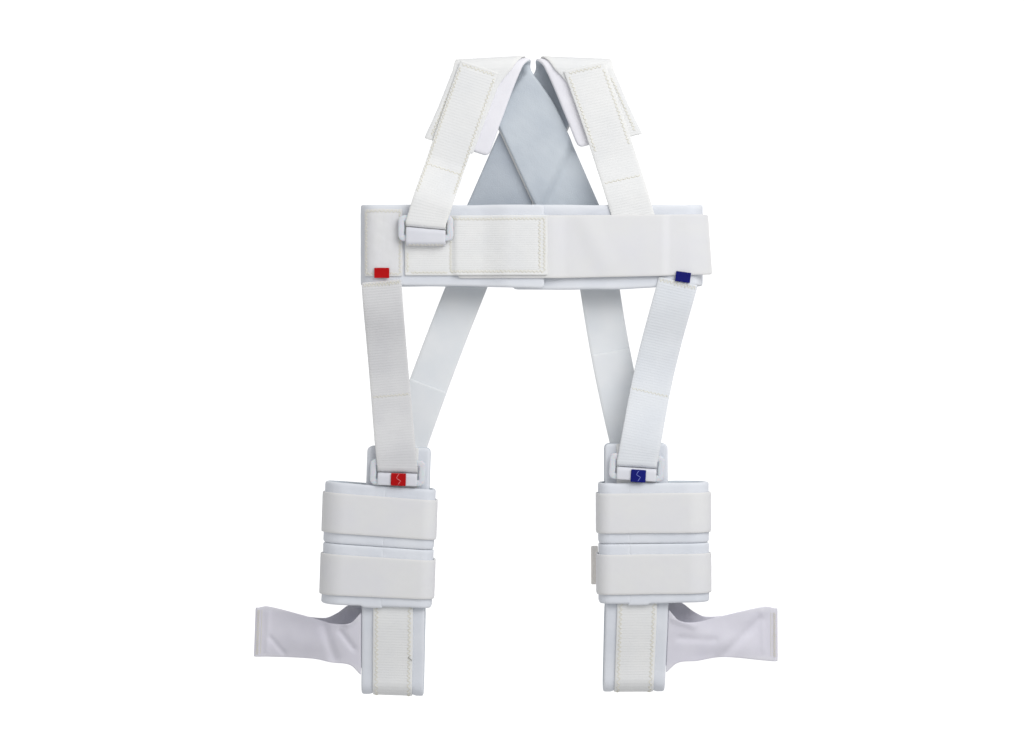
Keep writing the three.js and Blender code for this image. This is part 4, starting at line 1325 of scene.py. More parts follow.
@dataclass
class Shoulders:
    """The two felt and webbing shoulder straps, folded over the shoulder and crossed behind."""

    room: Workroom
    RISE = 121.5
    SHIFT = 11.0
    SPREAD = 50.5
    FOLD = 4.0
    TOP_SPREAD = 66.6
    TOP_INSET = 7.0
    LANES = 9
    CLEAR = 1.03
    END = 1.04
    FADE = 0.045
    FLAP_SEAM = 13.0
    FOOT_LEAN = 0.32
    FOOT_PLACE = 0.15
    LEFT_TAIL = 0.36
    FLAPS = {Side.LEFT: (49.0, 0.33), Side.RIGHT: (45.0, 0.245)}
    CROSSING = Table(
        (0, 0.243, 0.664, 0.815, 0.928, 1, 1.1, 1.2, 1.66, 2),
        {
            "middle": (-0.675, -0.427, -0.002, 0.162, 0.335, 0.462, 0.497, 0.573, 0.795, 0.962),
            "wide": (1.03, 1.04, 1.065, 1.065, 1.075, 1.1, 1.165, 1.075, 1.008, 1.0),
            "slant": (0, 0, 0, 0, 0, -0.1, -0.17, -0.1, 0.5, 1),
        },
    )

    def __post_init__(self) -> None:
        """Works out the fold at the shoulder and the levels on the flap."""
        self.fold_y = self.RISE - (self.FOLD + FELT + GAP + WEBBING)
        self.radius = self.FOLD + FELT / 2
        self.level = PAD["felt"].middle
        self.flap_level = self.level + 2 * self.radius
        self.strap_level = self.flap_level + FELT / 2 + GAP + WEBBING + GAP + WEBBING / 2

    def middle(self, side: Side, marks: Array) -> Array:
        """The middle of a crossing strap at each mark."""
        return self.SHIFT + side.value * self.SPREAD * self.CROSSING.read("middle", marks)

    def crossing_lift(self, x: Array, y: Array, z: Array) -> Array:
        """How far the left crossing strap rides up over the right one."""
        reach = np.maximum(y / self.fold_y, 0)
        marks = np.minimum(reach, 1)
        wide = PAD_WIDTH * self.CROSSING.read("wide", marks)
        away = np.abs(x - self.middle(Side.RIGHT, marks)) - wide / 2
        over = 1 - ease((away - self.CLEAR * wide / self.LANES) / 5.0)
        below_fold = ease((self.END - reach) / self.FADE)
        on_back = ease((self.level + self.radius - z) / (self.radius - FELT))
        return (PAD["felt"].high + GAP) * over * below_fold * on_back

    def strip(
        self, side: Side, faces: Pair, width: float, outward: float = 0.0, trim: float = 0.0,
        **looks: object,
    ) -> Sheet:
        """One layer of a shoulder strap.

        Args:
            side: which shoulder.
            faces: how far its faces lie out from the felt's middle.
            width: its width.
            outward: how far it lies off the strap's middle.
            trim: how much its inner edge steps back on the flap.
            **looks: the sheet's other settings.

        Returns:
            The sheet.
        """
        flap, slant = self.FLAPS[side]
        route = Route(0, self.level, 0).to(self.fold_y, self.level, 1)
        route.fold(self.fold_y, self.level + self.radius, 180, 1.2)
        route.to(self.fold_y - flap, self.flap_level, 2)

        def edges(marks: Array) -> Edges:
            stepped = trim * ease((marks - 1.05) / 0.35)
            wide = width * self.CROSSING.read("wide", marks) - stepped
            turn = side.value * slant * self.CROSSING.read("slant", marks)
            return around(self.middle(side, marks) + side.value * (outward + stepped / 2), wide, turn)

        lift = side.pick(self.crossing_lift, None)
        return Sheet(route, faces, edges, lift=lift, **looks)

    def top(self, side: Side) -> Triple:
        """Where a front strap starts, on the flap."""
        x = ChestBand.SHIFT + side.value * self.TOP_SPREAD / 2
        return x, self.RISE - self.TOP_INSET, self.strap_level

    def foot(self) -> Triple:
        """Where the right front strap ends, under the closure strap."""
        x, y, _ = self.top(Side.RIGHT)
        foot_y = self.FOOT_PLACE * ChestBand.HEIGHT
        return x + self.FOOT_LEAN * (y - foot_y), foot_y, ON_UNDER.middle

    @staticmethod
    def strap_seams(top: float, cross: float, side_seams: Sequence[Triple]) -> list[Seam]:
        """The seams of a front strap.

        Args:
            top: how far down its top seam lies.
            cross: how far down its second cross seam lies.
            side_seams: each seam along it, as its offset, start and end.

        Returns:
            The seams.
        """
        half = NARROW_STRAP / 2 - 2.4
        seams = [Seam((top, -half), (top, half)), Seam((cross, -half - 1), (cross, half + 1), 2.8, 1.6)]
        seams += [Seam((start, offset), (end, offset)) for offset, start, end in side_seams]
        return seams

    def left_front(self, target: Seat) -> Sheet:
        """The left front strap, down to the chest ring."""
        x, y, height = self.top(Side.LEFT)
        flap = self.FLAPS[Side.LEFT][0]
        end = (y - self.fold_y + flap + 0.25 * PAD_WIDTH) / (y - target.y)
        rows = ((0.0, self.strap_level), (end, self.strap_level))
        strap = RingStrap((x, y, height), rows, target, self.LEFT_TAIL, -0.006, -0.09, seed=31)
        half = NARROW_STRAP / 2 - 2.0
        return strap.sheet(
            lambda _, length: self.strap_seams(
                2.2, 0.655 * length, [(-half, 4.0, 0.86 * length), (half, 4.0, 0.8 * length)]
            )
        )

    def right_front(self) -> Sheet:
        """The right front strap, down to its foot under the closure strap."""
        (x, y, height), (foot_x, foot_y, foot_height) = self.top(Side.RIGHT), self.foot()
        lean = (foot_x - x) / (y - foot_y)
        flap_end = self.fold_y - self.FLAPS[Side.RIGHT][0] - 0.2 * PAD_WIDTH
        chest_top = ChestBand.HEIGHT / 2 + FELT
        route = Route(y, height, 0).to(flap_end, height, (y - flap_end) / (y - foot_y))
        route.to(chest_top, foot_height, (y - chest_top) / (y - foot_y)).to(foot_y, foot_height, 1)
        wide = NARROW_STRAP / math.sqrt(math.cos(math.atan(lean)))

        def edges(marks: Array) -> Edges:
            bow = 0.012 * (y - foot_y) * np.sin(np.pi * marks)
            return around(lerp(x, foot_x, marks) + bow, wide, 0.7 * lean)

        half = NARROW_STRAP / 2 - 2.0
        seams = self.strap_seams(2.2, 73.0, [(-half, 4.0, 52.0), (half, 4.0, 52.0)])
        return Sheet(
            route, centred(WEBBING), edges, pitch=0.425, lane=2.0, weave=Weave.CROSS_RIBS, scallop=0.1,
            seed=33, seams=seams,
        )

    def build(self, chest_ring: Seat) -> None:
        """Makes the shoulder straps and the front straps on them."""
        for side in Side:
            felt = self.strip(side, centred(FELT), PAD_WIDTH, corner=3.0, fuzz=0.1, seed=21 + side.value)
            webbing = self.strip(
                side, inside(FELT, WEBBING), WIDE_STRAP, outward=2.0, trim=7.0, pitch=0.45, lane=2.2,
                weave=Weave.CROSS_RIBS, seed=24,
            )
            flap_start = webbing.along_at(self.fold_y, last=True)
            offset = side.value * self.FLAP_SEAM
            seams = [Seam((flap_start + 4, offset), (webbing.length - 3, 0.92 * offset))]
            other = side.pick("shoulder_pad_right", "chest_pad")
            # The pads' outer felt is the paler copy of the felt: painted light
            self.room.lay(
                f"shoulder_pad_{side.word}", felt, PALE_LIT_FELT, Held.FOLDED,
                [f"shoulder_webbing_{side.word}", other],
                # The right pad's lining is the darker copy of the inner felt: painted shade where it lies
                # under the left strap
                lining=(side.pick(SHADED_INNER_FELT, DEEP_SHADED_UNDER_FELT), Skin.OUT),
            )
            self.room.lay(
                f"shoulder_webbing_{side.word}", webbing, RIBBED_WEBBING, Held.FOLDED,
                [f"shoulder_pad_{side.word}"], stitches=[Stitches(seams, Skin.IN)],
            )
        left, right = self.left_front(chest_ring), self.right_front()
        rows = ((Side.LEFT, left, Held.FOLDED, "chest_ring"), (Side.RIGHT, right, Held.LAID, "chest_pad"))
        for side, strap, held, below in rows:
            self.room.lay(
                f"front_shoulder_strap_{side.word}", strap, RIBBED_WEBBING, held,
                [f"shoulder_webbing_{side.word}", below], stitches=[Stitches(strap.seams, Skin.IN)],
            )


def front_or_rear(front: bool) -> str:
    """The word for a place in front or behind, as it stands in the names of pieces."""
    return "front" if front else "rear"


@dataclass
class Boot:
    """One boot: the stirrup, its two cuffs, the heel cloth, the rings with their tabs, and its mark.

    It lies lower than the boots' line by its drop and is turned by its turn in degrees, its front ring by
    ring_turn more. The tilts are slopes of the upper cuff's top, the slit between the cuffs and the lower
    cuff's foot. The pads' seam is a share of their width from the middle. Below the cuffs the strip leans
    in by strip_lean. The heel cloth reaches heel_reach out, and its far end hangs heel_drop lower.
    """

    room: Workroom
    side: Side
    drop: float
    turn: float
    ring_turn: float
    tilts: Triple
    heel_creases: tuple[Crease, ...]
    pad_seam: float
    strip_lean: float
    heel_reach: float
    heel_drop: float
    has_loose_end: bool
    seed: int
    SPREAD = 175.8
    DROP = 189.0
    CUFF_WIDTH = 73.5
    SLIT = 0.3
    CUFF_TOP = SLIT + 38.0
    RING_PLAY = 0.8
    SOLE = -96.1
    CUFF_CORNER = 4.5
    EAR = 25.0
    SOLE_RADIUS = 7.2
    SOLE_BULGE = 1.4
    BAND_SEAM = 0.1
    BAND_WAVE = 0.12
    LOOSE_END_RISE = 4.3
    LOOSE_END = ((0.0, 1.0, 0.35), (1.5, 1.5, 0.7), (2.9, 2.4, 1))
    RIPPLE = 1.2
    RIPPLES = 2.4
    HEEL_HEIGHT = 31.0
    HEEL_EDGES = Table(
        (0, 0.1, 0.28, 0.45, 0.9, 1, 1.3, 1.63, 1.75, 1.87, 2),
        {
            "top": (-0.11, -0.34, -0.38, -0.3, -0.12, -0.16, -0.26, -0.33, -0.22, -0.03, 0),
            "bottom": (-1.43, -1.23, -1.2, -1.15, -1.17, -1.18, -1.15, -1.13, -1.14, -1.2, -1.35),
        },
    )

    def __post_init__(self) -> None:
        """Works out where the stirrup and the rings lie in the boot's own frame."""
        self.inner_middle = -self.CUFF_WIDTH / 2 + FELT + GAP + SMOOTH + 1.0 + STIRRUP_WIDTH / 2
        self.middle = self.side.value * self.inner_middle
        self.ring_y = self.CUFF_TOP + self.RING_PLAY + Ring.HEIGHT / 2
        self.sole_y = self.SOLE + outside(FELT, WEBBING)[1] + self.SOLE_RADIUS
        self.floor = PAD["felt"].middle

    def place(self, points: Array) -> Array:
        """Carries points from the boot's own frame into the harness's."""
        middle = np.array([self.side.value * self.SPREAD / 2, -self.DROP - self.drop, 0])
        return turned(points, self.turn) + middle

    def leaned(self, points: Array) -> Array:
        """The same for the strip and the heel cloth, whose lower part leans inwards."""
        below = np.clip(-points[..., 1] - self.CUFF_TOP, 0, None)
        away = np.clip(np.abs(points[..., 0]) - self.inner_middle - STIRRUP_WIDTH / 2, 0, None)
        moved = points.copy()
        share = np.clip(1 - away / self.heel_reach, 0, 1)
        moved[..., 0] -= self.side.value * self.strip_lean * below * share
        return self.place(moved)

    def seat(self, front: bool) -> Seat:
        """Where the front or the rear ring lies, in the boot's own frame."""
        if not front:
            return Seat(self.middle, self.ring_y, 0, REAR_EAR, -1)
        rise = math.sin(math.radians(abs(self.ring_turn))) * (Ring.WIDTH / 2 - Ring.CORNER)
        return Seat(self.middle, self.ring_y + rise, self.ring_turn, FRONT_RING_PILE, 1)

    def seat_in_harness(self, front: bool) -> Seat:
        """The same seat as the leg strap meets it."""
        seat = self.seat(front)
        x, y, _ = self.place(np.array([seat.x, seat.y, 0.0]))
        return Seat(float(x), float(y), self.turn + seat.turn, seat.levels, seat.face)

    def stirrup_route(self) -> Route:
        """Down behind, round the sole and up in front."""
        rear, front, ear = BOOT["rear_felt"].middle, BOOT["front_felt"].middle, REAR_EAR["felt"].middle
        top, clear = self.CUFF_TOP, self.CUFF_TOP + GAP
        route = Route(top + self.EAR, ear, 0).to(top, ear, 0.1).to(top / 2, rear, 0.2).to(-clear, rear, 0.3)
        route.to(-(top + 2.5 * FELT), self.floor, 0.4).to(self.sole_y, self.floor, 0.5)
        route.fold(self.sole_y, self.floor + self.SOLE_RADIUS, -180, 0.6)
        for share in np.linspace(0, 1, 80)[1:]:
            height = lerp(self.floor + 2 * self.SOLE_RADIUS, front, ease(share))
            route.add(lerp(self.sole_y, -clear, share), height, lerp(0.6, 0.75, share))
        return route.to(top + self.EAR, front, 1)

    def stirrup_front(self, y: Array) -> Array:
        """The height of the stirrup's front."""
        share = (y - self.sole_y) / (-self.CUFF_TOP - GAP - self.sole_y)
        return lerp(self.floor + 2 * self.SOLE_RADIUS, BOOT["front_felt"].middle, ease(share))

    def cuff_route(self, seam: float, seam_in_front: bool, play: float) -> Route:
        """Round both layers of the stirrup, from the seam back to it, with some play between its ends."""
        back, front = BOOT["back_pad"].middle, BOOT["front_pad"].middle
        radius = (front - back) / 2
        skin = FELT / 2 + GAP + SMOOTH
        outer = self.CUFF_WIDTH / 2 - skin - radius
        inner = -self.CUFF_WIDTH / 2 + skin
        corner = self.CUFF_CORNER + FELT / 2

        def outer_side(route: Route) -> Route:
            return route.to(outer, front, 0).fold(outer, back + radius, -180, 0)

        def inner_side(route: Route) -> Route:
            route.to(inner + corner, back, 0).fold(inner + corner, back + corner, -90, 0)
            return route.to(inner, front - corner, 0).fold(inner + corner, front - corner, -90, 0)

        if seam_in_front:
            return inner_side(outer_side(Route(seam + play, front))).to(seam - play, front, 0)
        return outer_side(inner_side(Route(seam - play, back))).to(seam + play, back, 0)

    def cuff(self, name: str, bottom: float, top: float, tilts: Pair, seed: int) -> None:
        """One cuff: a felt pad and the smooth band round it.

        Args:
            name: upper_cuff or lower_cuff.
            bottom: its lower edge.
            top: its upper edge.
            tilts: how far its lower and upper edges tilt.
            seed: which of the uneven patterns it has.
        """

        def settle(points: Array) -> Array:
            tilted = points.copy()
            share = np.clip((points[..., 1] - bottom) / (top - bottom), 0, 1)
            tilted[..., 1] += points[..., 0] * lerp(tilts[0], tilts[1], share)
            return self.place(tilted)

        def signed(faces: Pair) -> Pair:
            return (-faces[1], -faces[0]) if self.side is Side.LEFT else faces

        def wavy(low: float, high: float, low_size: float, high_size: float, lap: float = 0) -> EdgeReader:
            def edges(marks: Array) -> Edges:
                run = np.arange(len(marks)) * 1.0
                wave = low_size * unevenness(run, run * 0, 55.0, seed) - lap * ease((16 - run) / 2)
                other = high_size * unevenness(run, run * 0 + 9, 48.0, seed + 3)
                return low + wave, high + other, 0.0

            return edges

        is_lower = top < 0
        low_edge, low_size = (bottom + 0.4, 0.35) if is_lower else (0.08, 0.03)
        high_edge, high_size = (-0.08, 0.03) if is_lower else (top + 0.3, 0.25)

        inner_skin = self.side.pick(Skin.OUT, Skin.IN)
        pad = Sheet(
            self.cuff_route(self.pad_seam * self.CUFF_WIDTH, True, -0.9).mirrored(self.side),
            signed(centred(FELT)), wavy(low_edge, high_edge, low_size, high_size, 1.0 if is_lower else 0.0),
            pitch=1.0, lane=1.4, across=True, fuzz=0.12, corner=0.5, seed=seed, place=settle,
        )
        inset = (top - bottom - NARROW_STRAP) / 2
        band = Sheet(
            self.cuff_route(self.BAND_SEAM * self.CUFF_WIDTH, False, GAP).mirrored(self.side),
            signed(outside(FELT, SMOOTH)),
            wavy(bottom + inset, top - inset, self.BAND_WAVE, self.BAND_WAVE), pitch=1.0, across=True,
            fuzz=0.06, seed=seed + 1, place=settle,
        )
        node = f"{name}_{self.side.word}"
        self.room.lay(
            f"{node}_pad", pad, OUTER_FELT, Held.FOLDED, [f"stirrup_webbing_{self.side.word}"],
            lining=(SHADED_INNER_FELT, inner_skin),
        )
        extras = [self.band_end(node, bottom + inset, settle)] if is_lower and self.has_loose_end else []
        self.room.lay(f"{node}_band", band, SMOOTH_STRAP, Held.STRETCHED, [f"{node}_pad"], extras=extras)

    def band_end(self, node: str, low: float, settle: Place) -> Object:
        """The loose end of a cuff's band, which comes out from under the cuff's inner side.

        Args:
            node: the cuff.
            low: the band's lower edge.
            settle: carries points from the boot's own frame into the harness's.

        Returns:
            Its piece.
        """
        wall = -self.CUFF_WIDTH / 2
        route = Route(wall + 1.6, 0.9, 0)
        for out, height, mark in self.LOOSE_END:
            route.add(wall - out, height, mark)
        sheet = Sheet(
            route.mirrored(self.side), centred(SMOOTH),
            steady(low + self.LOOSE_END_RISE, low + self.LOOSE_END_RISE + NARROW_STRAP - 0.6), pitch=0.6,
            across=True, fuzz=0.06, seed=self.seed + 40, place=settle,
        )
        # Near-white beige: painted light on the band end in the cuff's shade
        return self.room.snip(f"{node}_band_end", sheet, BEIGE_PAINTED_LIGHT_STRAP)

    def heel(self) -> None:
        """The heel cloth: out from the stirrup's front, round a flat seam and back on the surface."""
        edge = self.inner_middle + STIRRUP_WIDTH / 2 + GAP
        end = edge + self.heel_reach
        turn = KNIT / 2 + GAP / 2
        seam = KNIT + GAP / 2
        top = -self.CUFF_TOP - 2 * GAP
        route = Route(edge, seam + turn, 0).to(end - turn - KNIT / 2, seam + turn, 1)
        route.fold(end - turn - KNIT / 2, seam, -180, 1).to(edge, seam - turn, 2)
        side = self.side.value

        def lift(x: Array, y: Array, z: Array) -> Array:
            share = np.clip((np.abs(x) - edge) / self.heel_reach, 0, 1)
            lower = (self.floor - KNIT / 2) * (1 - ease(share / 0.2))
            rise = (self.stirrup_front(y) - seam - turn) * (1 - ease(share))
            ripple = np.sin((y - top) / self.HEEL_HEIGHT * self.RIPPLES * np.pi + share * 3)
            upper = rise + self.RIPPLE * ripple * np.sin(np.pi * share) ** 2
            folds = sum(crease.rise(np.abs(x) - edge, y - top) for crease in self.heel_creases)
            free = ease(share / 0.04) * ease((1 - share) / 0.06)
            return np.where(z < seam, lower, upper + folds * free)

        def edges(marks: Array) -> Edges:
            low = top + self.HEEL_HEIGHT * self.HEEL_EDGES.read("bottom", marks)
            low = low - self.heel_drop * ease(1 - np.abs(marks - 1) / 0.5)
            high = top + self.HEEL_HEIGHT * self.HEEL_EDGES.read("top", marks)
            return low, high, 0.0

        sheet = Sheet(
            route.mirrored(self.side),
            centred(KNIT),
            edges,
            pitch=0.8,
            lane=0.9,
            across=True,
            lift=lift,
            corner=0.8,
           
            seed=self.seed + 7,
            place=self.leaned,
        )
        reach = sheet.along_at(side * (end - 4.5))
        shown = self.side.pick(Skin.IN, Skin.OUT)
        seams = [
            Seam((reach, -14.2), (reach, 14.2), 2.0, 0.25),
            Seam((reach + 2.2, -14.4), (reach + 2.2, 14.4), 1.4, 2.6),
        ]
        self.room.lay(
            f"heel_band_{self.side.word}", sheet, KNIT_CLOTH, Held.GATHERED,
            [f"stirrup_pad_{self.side.word}"], stitches=[Stitches(seams, shown, thread=Thread(0.16))],
        )

    def stirrup(self) -> None:
        """The felt and the webbing that run down behind, under the sole and up in front."""
        word = self.side.word

        def proud(points: Array) -> Array:
            beside = ease((np.abs(points[..., 0] - self.middle) - NARROW_STRAP / 2) / 1.5)
            below = ease((self.sole_y - points[..., 1]) / self.SOLE_RADIUS + 0.4)
            moved = points.copy()
            moved[..., 1] -= self.SOLE_BULGE * beside * below
            return self.leaned(moved)

        felt = Sheet(
            self.stirrup_route(), centred(FELT),
            steady(self.middle - STIRRUP_WIDTH / 2, self.middle + STIRRUP_WIDTH / 2), corner=3.0, fuzz=0.1,
            seed=self.seed, place=proud,
        )
        half = NARROW_STRAP / 2
        webbing = Sheet(
            self.stirrup_route(), outside(FELT, WEBBING), steady(self.middle - half, self.middle + half),
            pitch=0.45, lane=2.0, weave=Weave.CROSS_RIBS, seed=self.seed + 1, place=self.leaned,
        )
        start = webbing.along_at(self.CUFF_TOP + 2, last=False)
        front = webbing.along_at(-self.CUFF_TOP + 4, last=True)
        offset = half - 2.3
        seams = [Seam((start, side * offset), (front, side * offset), 3.0, 2.6) for side in (-1, 1)]
        self.room.lay(
            f"stirrup_pad_{word}", felt, OUTER_FELT, Held.FOLDED, [f"stirrup_webbing_{word}"],
            lining=(SHADED_INNER_FELT, Skin.IN),
        )
        self.room.lay(
            f"stirrup_webbing_{word}", webbing, RIBBED_WEBBING, Held.FOLDED, [f"stirrup_pad_{word}"],
            stitches=[Stitches(seams, Skin.OUT)],
        )
        if self.side is Side.LEFT:
            self.loose_thread(webbing)

    def loose_thread(self, webbing: Sheet) -> None:
        """The short loose thread that lies on the left boot's webbing."""
        along = webbing.along_at(-70.5, last=True)
        share = np.linspace(0, 1, 9)
        spots = webbing.on(along - 1.8 + 3.6 * share, 12.2 - 2.0 * share + 0.5 * np.sin(7 * share), Skin.OUT)
        normals = np.tile([0.0, 0.0, 1.0], (len(share), 1))
        points = spots + np.column_stack([share * 0, share * 0, 0.15 + 0.5 * np.sin(np.pi * share)])
        self.room.run_thread("loose_thread", *Thread(0.13).tube(points, normals), LOOSE_THREAD)

    def rings(self) -> None:
        """Both rings with their tabs, and the colour mark on the front tab."""
        word = self.side.word
        for front in (True, False):
            seat = self.seat(front)
            place = front_or_rear(front)
            ring = Ring(seat, self.place)
            extras = [ring.build(self.room, f"{place}_ring_{word}")]
            if front:
                extras += self.mark()
            self.room.lay(
                f"{place}_ring_tab_{word}", ring.tab(), TAB_CLOTH, Held.FOLDED, [f"{place}_ring_{word}"],
                extras=extras,
            )

    def mark(self) -> list[Object]:
        """The colour mark on the front tab, with its zigzag of pale thread."""
        red, blue = ("red", RED_RIBBON, PINK_THREAD), ("blue", BLUE_RIBBON, PALE_BLUE_THREAD)
        colour, finish, pale = self.side.pick(red, blue)
        level = FRONT_RING_PILE["over"].high + GAP
        bottom = self.ring_y - Ring.HEIGHT / 2

        def settle(points: Array) -> Array:
            middle = np.array([self.middle, bottom + 4, 0.0])
            return self.place(turned(points - middle, self.ring_turn) + middle)

        route = Route(bottom + 8, level + 0.35, 0).to(bottom, level + 0.35, 1)
        sheet = Sheet(
            route, centred(0.7), steady(self.middle - 4.0, self.middle + 5.5), pitch=0.5, lane=0.5,
            corner=0.6, fuzz=0.06, seed=self.seed + 11, place=settle,
        )
        seams = [Seam((0.6, -0.8), (7.4, 0.8), 4.4, 3.0)]
        return self.room.ribbon(f"boot_tab_{colour}", sheet, finish, [Stitches(seams, Skin.IN, pale)])

    def build(self) -> None:
        """Makes the whole boot."""
        upper, slit, lower = self.tilts
        self.stirrup()
        self.cuff("upper_cuff", self.SLIT, self.CUFF_TOP, (slit, upper), self.seed + 20)
        self.cuff("lower_cuff", -self.CUFF_TOP, -self.SLIT, (lower, slit), self.seed + 30)
        self.heel()
        self.rings()


@dataclass
class ChestMarks:
    """The red and blue ribbon loops under the tops of the front leg straps."""

    room: Workroom
    WIDTH = 9.5
    HEIGHT = 6.5
    CLOTH = 0.36

    def loop(self, node: str, finish: ClothFinish, x: float, y: float, level: float, turn: float) -> list:
        """A ribbon folded over itself, open end down.

        Args:
            node: the node that it stands for.
            finish: its finish.
            x: its middle.
            y: its middle.
            level: the top of what it lies on.
            turn: how far it is turned, in degrees.

        Returns:
            Its pieces.
        """
        low = level + GAP
        top = self.HEIGHT / 2 - RIBBON / 2
        upper = low + RIBBON - self.CLOTH / 2
        route = Route(-self.HEIGHT / 2, upper, 0).to(top, upper, 1)
        route.fold(top, low + RIBBON / 2, -180, 1).to(-self.HEIGHT / 2, low + self.CLOTH / 2, 2)

        def settle(points: Array) -> Array:
            return turned(points, turn) + np.array([x, y, 0.0])

        sheet = Sheet(
            route,
            centred(self.CLOTH),
            steady(-self.WIDTH / 2, self.WIDTH / 2),
            pitch=0.3,
            lane=0.5,
            corner=0.3,
           
            seed=51,
            place=settle,
        )
        return self.room.ribbon(node, sheet, finish)

    def build(self) -> dict[str, list]:
        """Makes both marks and returns them by the node that they lie on."""
        left, width = ChestBand.LEFT, ChestBand.WIDTH
        red = self.loop(
            "chest_tab_red", RED_RIBBON, left + 0.065 * width, -17.4, CHEST["under"].high + GAP + PATCH, 0
        )
        blue = self.loop("chest_tab_blue", BLUE_RIBBON, left + 0.938 * width, -20.0, ON_UNDER.high, -8)
        return {"pile_patch": red, "chest_closure": blue}


@dataclass
class LegStraps:
    """The four leg straps, from the chest band to the boots' rings."""

    room: Workroom
    boots: dict[Side, Boot]
    # The front leg straps take darker copies of the webbing: painted shade
    FINISHES = {Side.LEFT: LEFT_SHADED_WEBBING, Side.RIGHT: RIGHT_SHADED_WEBBING}
    # Share of the chest band's width where each starts, its tail, bow, sag and lean
    MEASURES = {
        (Side.LEFT, True): (0.0635, 0.4, -0.006, 3.0, 0.13),
        (Side.RIGHT, True): (0.925, 0.4, -0.014, 2.5, -0.05),
        (Side.LEFT, False): (0.335, 0.4, -0.008, 0.0, 0.0),
        (Side.RIGHT, False): (0.69, 0.56, -0.014, 0.0, 0.0),
    }
    FRONT_LAP = 3.5
    FRONT_DIP = 4.0
    TAIL_SEAM = 0.62

    def strap(self, side: Side, front: bool) -> tuple[RingStrap, str]:
        """The measures of one leg strap, and its name."""
        left, width = ChestBand.LEFT, ChestBand.WIDTH
        target = self.boots[side].seat_in_harness(front)
        place, tail, bow, sag, lean = self.MEASURES[side, front]
        level = ON_UNDER.middle if front else REAR_EAR["over"].middle
        y = -ChestBand.HEIGHT / 2 + self.FRONT_LAP if front else -ChestBand.REAR_STRAP_START
        dip = self.FRONT_DIP if front else 0.0
        rows = ((0.0, level), (0.06, level), (0.45, level - dip))
        slant = math.tan(math.radians(target.turn))
        start = (left + place * width, y, level)
        seed = 60 + 2 * side.value + front
        name = f"{front_or_rear(front)}_leg_strap_{side.word}"
        weave = Weave.CROSS_RIBS if front else Weave.PLAIN
        return RingStrap(start, rows, target, tail, bow, slant, sag, lean, seed, weave), name

    def seams(self, strap: RingStrap, length: float) -> list[Seam]:
        """A leg strap's seams: a wide one at its top, and in front one through the tail's end."""
        half = NARROW_STRAP / 2 - 1.2
        top = Seam((1.9, -half), (1.9, half), 2.2, 3.2)
        if strap.weave is Weave.PLAIN:
            return [top]
        tail_end = self.TAIL_SEAM * length
        return [top, Seam((tail_end, -half), (tail_end, half), 2.4, 1.8)]

    def build(self) -> None:
        """Makes the four straps."""
        for side in Side:
            for front in (True, False):
                strap, name = self.strap(side, front)
                sheet = strap.sheet(self.seams)
                ring = f"{front_or_rear(front)}_ring_{side.word}"
                self.room.lay(
                    name, sheet, self.FINISHES[side] if front else SHADED_WEBBING, Held.FOLDED,
                    ["chest_pad", ring], stitches=[Stitches(sheet.seams, Skin.IN)],
                )


@dataclass(frozen=True)
class Studio:
    """The pale floor, the soft light, the sky and the camera straight above, in metres."""

    camera: Triple = (-0.0014, 0.0022, 1.625)
    lens: float = 88.6
    sky: float = 0.56
    key: float = 6.95
    key_place: Triple = (0.5, 0.6, 0.8)
    key_size: float = 0.75
    floor_size: float = 6.0
    floor_level: float = -0.00045

    def floor(self) -> None:
        """A wide floor with a faint grain."""
        size = self.floor_size
        mesh = bpy.data.meshes.new("floor")
        corners = [(-size, -size), (size, -size), (size, size), (-size, size)]
        mesh.from_pydata([(x, y, self.floor_level) for x, y in corners], [], [(0, 1, 2, 3)])
        graph = Graph(
            "floor_paper", Roughness=0.9, Emission_Color=(1.0, 1.0, 1.0, 1.0), Emission_Strength=0.97
        )
        grain = graph.noise(30.0, 2.0)
        graph.join(graph.mix(grain, linear((150, 150, 152)), linear((156, 156, 158))), "Base Color")
        mesh.materials.append(graph.material)
        made = new_object("floor", mesh)
        made.visible_diffuse = False

    def light(self) -> None:
        """The one soft light, a square that faces the harness."""
        data = bpy.data.lights.new("key", "AREA")
        data.energy, data.size = self.key, self.key_size
        made = new_object("key", data)
        made.location = self.key_place
        made.rotation_euler = (-made.location).to_track_quat("-Z", "Y").to_euler()

    def build(self) -> None:
        """Sets up the whole studio."""
        scene = bpy.context.scene
        self.floor()
        world = bpy.data.worlds.new("studio")
        world.use_nodes = True
        background = world.node_tree.nodes["Background"]
        background.inputs["Color"].default_value = (0.985, 0.99, 1.0, 1.0)
        background.inputs["Strength"].default_value = self.sky
        scene.world = world
        self.light()
        data = bpy.data.cameras.new("camera")
        data.lens, data.sensor_width = self.lens, 36.0
        data.clip_start, data.clip_end = 0.05, 20.0
        scene.camera = new_object("camera", data)
        scene.camera.location = self.camera
        scene.view_settings.view_transform = "Standard"


def build_chest_ring(room: Workroom) -> Seat:
    """Makes the chest ring and its tab, and returns the ring's seat."""
    seat = Seat(ChestBand.LEFT + 0.193 * ChestBand.WIDTH, 10.8, 0, CHEST_RING_PILE, 1)
    ring = Ring(seat)
    made = ring.build(room, "chest_ring")
    tab = ring.tab(3.0, -0.09)
    seam = Seam((1.6, -11.2), (1.6, 11.2), 2.4, 2.4)
    room.lay(
        "chest_ring_tab", tab, TAB_CLOTH, Held.FOLDED, ["chest_webbing", "chest_ring"],
        stitches=[Stitches([seam], Skin.OUT)], extras=[made],
    )
    return seat


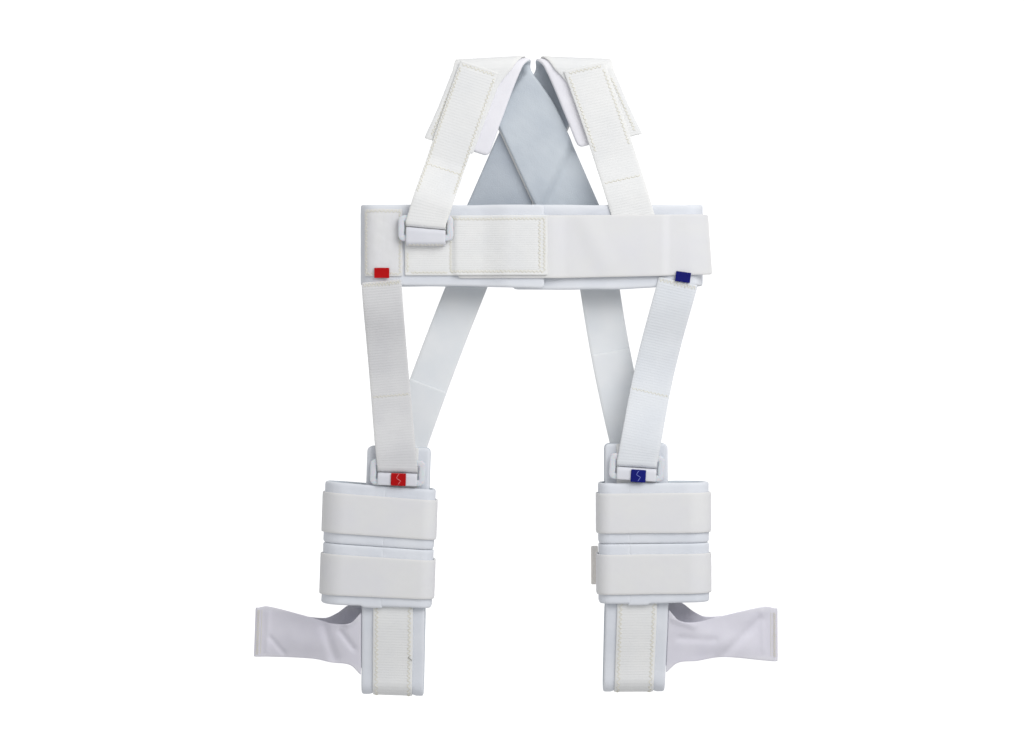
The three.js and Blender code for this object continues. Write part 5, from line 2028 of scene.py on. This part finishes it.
def make_boots(room: Workroom) -> dict[Side, Boot]:
    """The two boots with their own measures and creases."""
    return {
        Side.LEFT: Boot(
            room,
            Side.LEFT,
            drop=1.9,
            turn=-2.0,
            ring_turn=0,
            tilts=(-0.043, -0.033, -0.003),
            heel_creases=(
                Crease((3.0, -6.0), (9.0, -11.0), 2.4, 1.9),
                Crease((5.0, -27.0), (13.0, -17.0), 2.0, -1.3),
                Crease((17.0, -34.0), (24.0, -14.0), 3.0, -1.6),
                Crease((30.0, -12.0), (42.0, -22.0), 6.0, 1.0),
                Crease((50.0, -33.0), (59.0, -24.0), 1.8, -1.0),
                Crease((61.0, -8.0), (61.0, -32.0), 1.6, 0.5),
            ),
            pad_seam=-0.05,
            strip_lean=0.02,
            heel_reach=69.5,
            heel_drop=0.0,
            has_loose_end=False,
            seed=100,
        ),
        Side.RIGHT: Boot(
            room,
            Side.RIGHT,
            drop=0,
            turn=0.3,
            ring_turn=-4,
            tilts=(0.002, 0.004, 0.008),
            heel_creases=(
                Crease((3.0, -9.0), (16.0, -14.0), 2.6, 1.6),
                Crease((8.0, -22.0), (30.0, -24.0), 2.6, -1.0),
                Crease((34.0, -36.0), (60.0, -12.0), 3.2, -1.6),
                Crease((36.0, -14.0), (52.0, -12.0), 5.0, 0.8),
                Crease((61.0, -6.0), (62.0, -32.0), 1.6, 0.5),
            ),
            pad_seam=-0.22,
            strip_lean=0.04,
            heel_reach=71.3,
            heel_drop=2.6,
            has_loose_end=True,
            seed=200,
        ),
    }


def main() -> None:
    """Builds the harness's looks in order and sets up the studio."""
    logging.basicConfig(level=logging.INFO, format="%(message)s")
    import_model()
    room = Workroom()
    chest_ring = build_chest_ring(room)
    shoulders = Shoulders(room)
    shoulders.build(chest_ring)
    marks = ChestMarks(room).build()
    ChestBand(room).build(shoulders.foot()[0], marks)
    boots = make_boots(room)
    for boot in boots.values():
        boot.build()
    LegStraps(room, boots).build()
    Studio().build()
    LOG.info("%d triangles in all", room.triangles)


if __name__ == "__main__":
    main()
